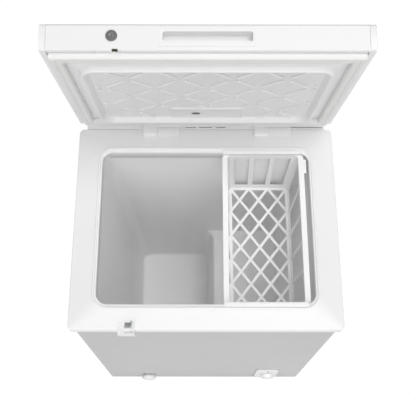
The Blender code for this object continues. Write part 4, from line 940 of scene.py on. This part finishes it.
@dataclass
class LidShell:
    """The lid's skin, mouldings, handle, lock and hinge leaves."""

    def build(self) -> None:
        """Ease what shows and dress what doesn't."""
        soften(Body.LID, Finishes.PLASTIC, {
            "lid_front_trim": 1.8, "lid_rear_trim": 1.8, "lid_end_trim_left": 1.2,
            "lid_end_trim_right": 1.2, "handle_insert": 0.7, "hinge_leaf_left": 0.6,
            "hinge_leaf_right": 0.6}, 3)
        self.notch_cheeks()
        soften(Body.LID, Finishes.ENAMEL, {"lid_top_skin": 0.3})
        soften(Body.LID, Finishes.DARK_PLATED, {"lock_housing": 0.5})
        soften(Body.LID, Finishes.FOAM, {"lid_foam": 0.5})
        soften(Body.LOCK, Finishes.DARK_PLATED, {"lock_core": 0.3})
        soften(Body.LOCK, Finishes.ZINC, {"lock_cam": 0.4})

    @staticmethod
    def notch_cheeks() -> None:
        """The two cheeks that close the front moulding's notch, but for the way in of the keeper's loop."""
        low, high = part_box("lock_keeper")
        bm = bmesh.new()
        for left, right in ((low.x / MM - 7.6, high.x / MM - 14.5), (high.x / MM - 3.5, high.x / MM + 0.6)):
            slab(bm, (left, 5.5, 13.0), (right, 17.5, 16.6), 0.4)
        fit = Fit("notch_cheeks", Body.LID, Finishes.PLASTIC)
        fit.publish(bm, place=Layout.lid())


@dataclass
class Hardware:
    """Hinge bases, keeper, control panel and drain."""

    def build(self) -> None:
        """Ease and dress every fitting."""
        soften(Body.CABINET, Finishes.PLASTIC, {
            "hinge_base_left": 0.7, "hinge_base_right": 0.7, "control_panel": 1.0, "drain_socket": 0.4,
            "drain_pipe": 0.2}, 3)
        Softened("lock_keeper", Body.CABINET, Finishes.PLASTIC, None, flat=False).build()
        Softened("lock_striker", Body.CABINET, Finishes.PLATED, None, flat=False).build()
        soften(Body.CABINET, Finishes.PLATED, {"hinge_pin_left": 0.5, "hinge_pin_right": 0.5})
        soften(Body.CABINET, Finishes.LENS, {"indicator_lamp": 0.8}, 3)
        soften(Body.KNOB, Finishes.PLASTIC, {"thermostat_knob": 0.9}, 3)
        soften(Body.DRAIN_CAP, Finishes.PLASTIC, {"drain_cap": 0.8}, 3)
        soften(Body.DRAIN_PLUG, Finishes.PLASTIC, {"drain_plug": 0.6}, 3)


@dataclass
class Basket:
    """The hanging basket: rim, slotted walls, diamond floor and lugs that ride on the mouth's ledges."""

    rim: float = 12.5
    rim_end: float = 2.8
    wall: float = 2.6
    draft: float = 22.6
    corner: float = 9.0
    depth: float = 164.0
    drop: float = 11.0
    slot_top: float = 7.0
    slot_foot: float = 7.0
    side_slots: int = 5
    side_bar: float = 8.0
    end_slots: int = 3
    end_bar: float = 12.0
    bar: float = 6.6
    across: int = 3
    along: int = 10
    ear_reach: float = 6.0
    ear_length: float = 36.0
    ear_inset: float = 12.0
    lug_inset: float = 14.0
    lug_reach: float = 7.7

    def outline(self) -> RoundRect:
        """The rim's outer edge in the cabinet's plan, without the ear and the lugs."""
        low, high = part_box("basket")
        front, back = low.y - Layout.collar_low.y, high.y - Layout.collar_low.y
        reach = self.lug_reach * MM
        return RoundRect(low.x, high.x - self.ear_reach * MM, front + reach, back - reach, 0,
                         self.corner * MM)

    def build(self) -> None:
        """Make the basket's moulding as one piece."""
        bm = bmesh.new()
        self.walls(bm)
        self.floor(bm)
        self.fittings(bm)
        fit = Fit("basket_moulding", Body.BASKET, Finishes.BASKET, ("basket",))
        fit.publish(bm, Ease(0.7 * MM, 2, 50), place=Layout.cabinet(), angle=40)

    def walls(self, bm: bmesh.types.BMesh) -> None:
        """Rim and walls from one sheet: slots are opened, then the sheet gets its thickness.

        Args:
            bm: the mesh to add them to.
        """
        rim = self.outline()
        reach = self.depth - self.wall

        def level(down: float) -> RoundRect:
            """The walls' inner face at a depth under the rim."""
            share = down / reach
            return rim.grown(-(self.rim + (self.draft - self.rim) * share),
                             -(self.rim_end + (self.draft - self.rim_end) * share),
                             -self.drop - down, self.corner)

        loops = [rim.grown(0, z=-self.drop - self.wall), rim.grown(0, z=-self.drop), level(0),
                 level(self.slot_top), level(reach - self.slot_foot), level(reach),
                 level(reach).grown(-self.bar, z=-self.drop - reach, radius=4)]
        sheet = bmesh.new()
        loft(sheet, loops, segments=5)
        top, foot = loops[3].z, loops[4].z
        for normal, count, bar in ((0, self.side_slots, self.side_bar), (1, self.end_slots, self.end_bar)):
            self.open_slots(sheet, top, foot, normal, count, bar)
        bmesh.ops.recalc_face_normals(sheet, faces=sheet.faces)
        lid_side = next(face for face in sheet.faces if abs(face.normal.z) > 0.9)
        if lid_side.normal.z < 0:
            bmesh.ops.reverse_faces(sheet, faces=sheet.faces)
        bmesh.ops.solidify(sheet, geom=sheet.faces, thickness=self.wall * MM)
        self.join(bm, sheet)

    @staticmethod
    def open_slots(sheet: bmesh.types.BMesh, top: float, foot: float, normal: int, count: int,
                   bar: float) -> None:
        """Open a row of slots in the two walls that face along one axis.

        Args:
            sheet: the walls.
            top: height of the slots' upper ends.
            foot: height of their lower ends.
            normal: 0 for the side walls and 1 for the end walls.
            count: slots in each wall.
            bar: width of the bars between them, in millimetres.
        """
        along = 1 - normal
        walls = []
        for face in sheet.faces:
            heights = [vert.co.z for vert in face.verts]
            spread = [vert.co[along] for vert in face.verts]
            band = abs(max(heights) - top) < 2 * HAIR and abs(min(heights) - foot) < 2 * HAIR
            if band and max(spread) - min(spread) > 60 * MM:
                walls.append(face)
        for wall in walls:
            rails = [edge for edge in wall.edges if abs(edge.verts[0].co.z - edge.verts[1].co.z) < HAIR]
            made = bmesh.ops.subdivide_edges(sheet, edges=rails, cuts=count - 1, use_grid_fill=True)
            bays = [item for item in made["geom_inner"] if isinstance(item, bmesh.types.BMEdge)]
            columns = list({face for edge in bays for face in edge.link_faces if len(face.verts) == 4})
            bmesh.ops.inset_individual(sheet, faces=columns, thickness=bar / 2 * MM, use_even_offset=True)
            bmesh.ops.delete(sheet, geom=columns, context="FACES_ONLY")

    def floor(self, bm: bmesh.types.BMesh) -> None:
        """The diamond floor: a turned grid, cut to the floor, opened and thickened.

        Args:
            bm: the mesh to add it to.
        """
        field = self.outline().grown(-self.draft - self.bar / 2 + 1)
        step_x = (field.high_x - field.low_x) / self.across
        step_y = (field.high_y - field.low_y) / self.along
        low, high = Vector((field.low_x, field.low_y, 0)), Vector((field.high_x, field.high_y, 0))
        cells = 2 * (self.across + self.along)
        stretch = Matrix.Diagonal((step_x, 2 * step_y, 1, 1))
        spin = Matrix.Rotation(math.radians(45), 4, "Z")
        net = bmesh.new()
        bmesh.ops.create_grid(net, x_segments=cells, y_segments=cells, size=cells / math.sqrt(8),
                              matrix=Matrix.Translation(low) @ stretch @ spin)
        for corner, normal in ((low, Vector((-1, 0, 0))), (low, Vector((0, -1, 0))),
                               (high, Vector((1, 0, 0))), (high, Vector((0, 1, 0)))):
            bmesh.ops.bisect_plane(net, geom=net.verts[:] + net.edges[:] + net.faces[:], dist=1e-6,
                                   plane_co=corner, plane_no=normal, clear_outer=True)
        openings = list(net.faces)
        bmesh.ops.inset_individual(net, faces=openings, thickness=self.bar / 2 * MM, use_even_offset=True)
        bmesh.ops.delete(net, geom=openings, context="FACES_ONLY")
        height = -self.drop - self.depth + self.wall - 0.2
        bmesh.ops.translate(net, verts=net.verts, vec=Vector((0, 0, height * MM)))
        bmesh.ops.recalc_face_normals(net, faces=net.faces)
        if next(iter(net.faces)).normal.z < 0:
            bmesh.ops.reverse_faces(net, faces=net.faces)
        bmesh.ops.solidify(net, geom=net.faces, thickness=(self.wall - 0.1) * MM)
        self.join(bm, net)

    def fittings(self, bm: bmesh.types.BMesh) -> None:
        """The lugs at both ends with the webs that carry them, and the ear on the right.

        Args:
            bm: the mesh to add them to.
        """
        rim = self.outline()
        left, right = rim.low_x + self.lug_inset * MM, rim.high_x - self.lug_inset * MM
        foot, head = (-self.drop - 2) * MM, 2 * MM
        for edge, way in ((rim.low_y, -1), (rim.high_y, 1)):
            spans = sorted((edge - way * 3.4 * MM, edge + way * 7.6 * MM))
            lug = RoundRect(rim.low_x, right + 8 * MM, *spans, 0, 4 * MM)
            steps = ((-0.9, 0.3), (-0.3, 0.5), (0, 1), (0, 2), (-0.3, 2.6), (-0.9, 2.8))
            loft(bm, [lug.grown(out, z=z) for out, z in steps], caps=True, segments=4)
            spans = sorted((edge, edge - way * 2.4 * MM))
            for start, end in ((left, right), (rim.low_x + 0.4 * MM, left)):
                soft_block(bm, Vector((start, spans[0], foot)), Vector((end, spans[1], head)), 0.7 * MM)
        back = rim.high_y - self.ear_inset * MM
        soft_block(bm, Vector((rim.high_x - 4 * MM, back - self.ear_length * MM, (-self.drop - 2.5) * MM)),
                   Vector((rim.high_x + self.ear_reach * MM, back, (-self.drop - 0.05) * MM)), 0.9 * MM)

    @staticmethod
    def join(bm: bmesh.types.BMesh, other: bmesh.types.BMesh) -> None:
        """Add another shape to a mesh, and free it."""
        mesh = bpy.data.meshes.new("part")
        other.to_mesh(mesh)
        other.free()
        bm.from_mesh(mesh)
        bpy.data.meshes.remove(mesh)


@dataclass
class Machine:
    """What stands in the bay and runs between liner and shell."""

    def build(self) -> None:
        """Give each of these nodes its finish, easing the ones that can be seen."""
        copper = ("evaporator_coil", "condenser_coil", "suction_pipe", "discharge_pipe", "filter_drier",
                  "capillary_tube")
        for node in copper:
            self.dress(node, Finishes.COPPER)
        self.dress("foam_insulation", Finishes.FOAM)
        for letter in "abcd":
            self.dress(f"grommet_{letter}", Finishes.RUBBER)
        Softened("compressor", Body.CABINET, Finishes.BLACK_PAINT, Ease(1 * MM, 3), 35).build()
        soften(Body.CABINET, Finishes.ZINC, {"compressor_plate": 0.5})
        soften(Body.CABINET, Finishes.BLACK_PLASTIC, {"compressor_relay_cover": 2}, 3)
        soften(Body.CABINET, Finishes.BLACK_PLASTIC, {"bay_grille": 0.5})
        soften(Body.CABINET, Finishes.RUBBER, {"lead_gland": 0.6})
        soften(Body.CABINET, Finishes.ZINC, {"thermostat_body": 0.6})

    @staticmethod
    def dress(node: str, finish: Finish) -> None:
        """Put a finish on a node that keeps its own shape."""
        data = frame["nodes"][node].data
        data.materials.clear()
        data.materials.append(finish.make())
        LOG.info("%s keeps its shape, %s", node, finish.name)


@dataclass
class Studio:
    """Floor, light and camera."""

    floor_size: float = 30.0
    floor_glow: float = 1.02
    sky: float = 0.3
    lamps: tuple[tuple[str, float, float, float, float], ...] = (
        ("overhead", 79.0, 80.0, 24.0, 0.85), ("front", 38.0, 0.0, 50.0, 0.95),
        ("high_left", 64.0, -50.0, 30.0, 0.3), ("high_right", 64.0, 50.0, 30.0, 0.45))

    def build(self) -> None:
        """Set up the whole studio."""
        self.floor()
        self.light()
        self.camera()
        bpy.context.scene.view_settings.view_transform = "Standard"

    def floor(self) -> None:
        """A plain pale floor."""
        bm = bmesh.new()
        bmesh.ops.create_grid(bm, x_segments=8, y_segments=8, size=self.floor_size / 2)
        mesh = bpy.data.meshes.new("floor")
        bm.to_mesh(mesh)
        bm.free()
        floor = bpy.data.objects.new("floor", mesh)
        bpy.context.scene.collection.objects.link(floor)
        paint = bpy.data.materials.new("floor_paint")
        paint.use_nodes = True
        graph = Graph(paint.node_tree)
        shader = paint.node_tree.nodes["Principled BSDF"]
        shader.inputs["Base Color"].default_value = (0.85, 0.85, 0.85, 1)
        shader.inputs["Roughness"].default_value = 0.9
        glow = graph.node("ShaderNodeEmission", Color=(1, 1, 1, 1), Strength=self.floor_glow)
        seen = graph.node("ShaderNodeLightPath")
        choose = graph.node("ShaderNodeMixShader")
        graph.link(seen.outputs["Is Camera Ray"], choose.inputs["Fac"])
        graph.link(shader.outputs["BSDF"], choose.inputs[1])
        graph.link(glow.outputs["Emission"], choose.inputs[2])
        graph.link(choose.outputs["Shader"], paint.node_tree.nodes["Material Output"].inputs["Surface"])
        mesh.materials.append(paint)

    def light(self) -> None:
        """A bright even room and broad soft lamps far off."""
        world = bpy.data.worlds.new("room")
        world.use_nodes = True
        sky = world.node_tree.nodes["Background"]
        sky.inputs["Color"].default_value = (1, 1, 1, 1)
        sky.inputs["Strength"].default_value = self.sky
        bpy.context.scene.world = world
        for name, height, side, spread, strength in self.lamps:
            self.lamp(name, height, side, spread, strength)

    @staticmethod
    def lamp(name: str, height: float, side: float, spread: float, strength: float) -> None:
        """Hang a soft lamp far off.

        Args:
            name: the lamp's name.
            height: its height in degrees, as seen from the object's front.
            side: how far it stands to the right, in degrees.
            spread: its apparent size in degrees.
            strength: its strength.
        """
        lamp = bpy.data.lights.new(name, "SUN")
        lamp.energy = strength
        lamp.angle = math.radians(spread)
        obj = bpy.data.objects.new(name, lamp)
        obj.rotation_euler = (math.radians(90 - height), 0, math.radians(side))
        bpy.context.scene.collection.objects.link(obj)

    @staticmethod
    def camera() -> None:
        """A camera high in front, looking down into the open well."""
        lens = bpy.data.cameras.new("camera")
        lens.lens = 64.6
        lens.shift_x = 0.0205
        lens.shift_y = -0.0155
        eye = bpy.data.objects.new("camera", lens)
        eye.location = Layout.plan(-14.1, -321.4, 1659.0)
        eye.rotation_euler = (math.radians(21.337), 0, math.radians(0.07))
        bpy.context.scene.collection.objects.link(eye)
        bpy.context.scene.camera = eye


def clear_startup() -> None:
    """Remove what a new file opens with, leaving the frame."""
    mine = set(frame["nodes"].values()) | set(frame["bodies"].values())
    for obj in [obj for obj in bpy.data.objects if obj not in mine]:
        bpy.data.objects.remove(obj, do_unlink=True)


def main() -> None:
    """Build every sub-assembly in order."""
    logging.basicConfig(level=logging.INFO, format="%(name)s: %(message)s")
    clear_startup()
    collar = Collar()
    collar.build()
    Cabinet().build()
    Liner().build()
    RearStrip().build()
    LidDish(collar.mouth()).build()
    Seal(collar.mouth()).build()
    LidShell().build()
    Hardware().build()
    Basket().build()
    Machine().build()
    Studio().build()


if __name__ == "__main__":
    main()
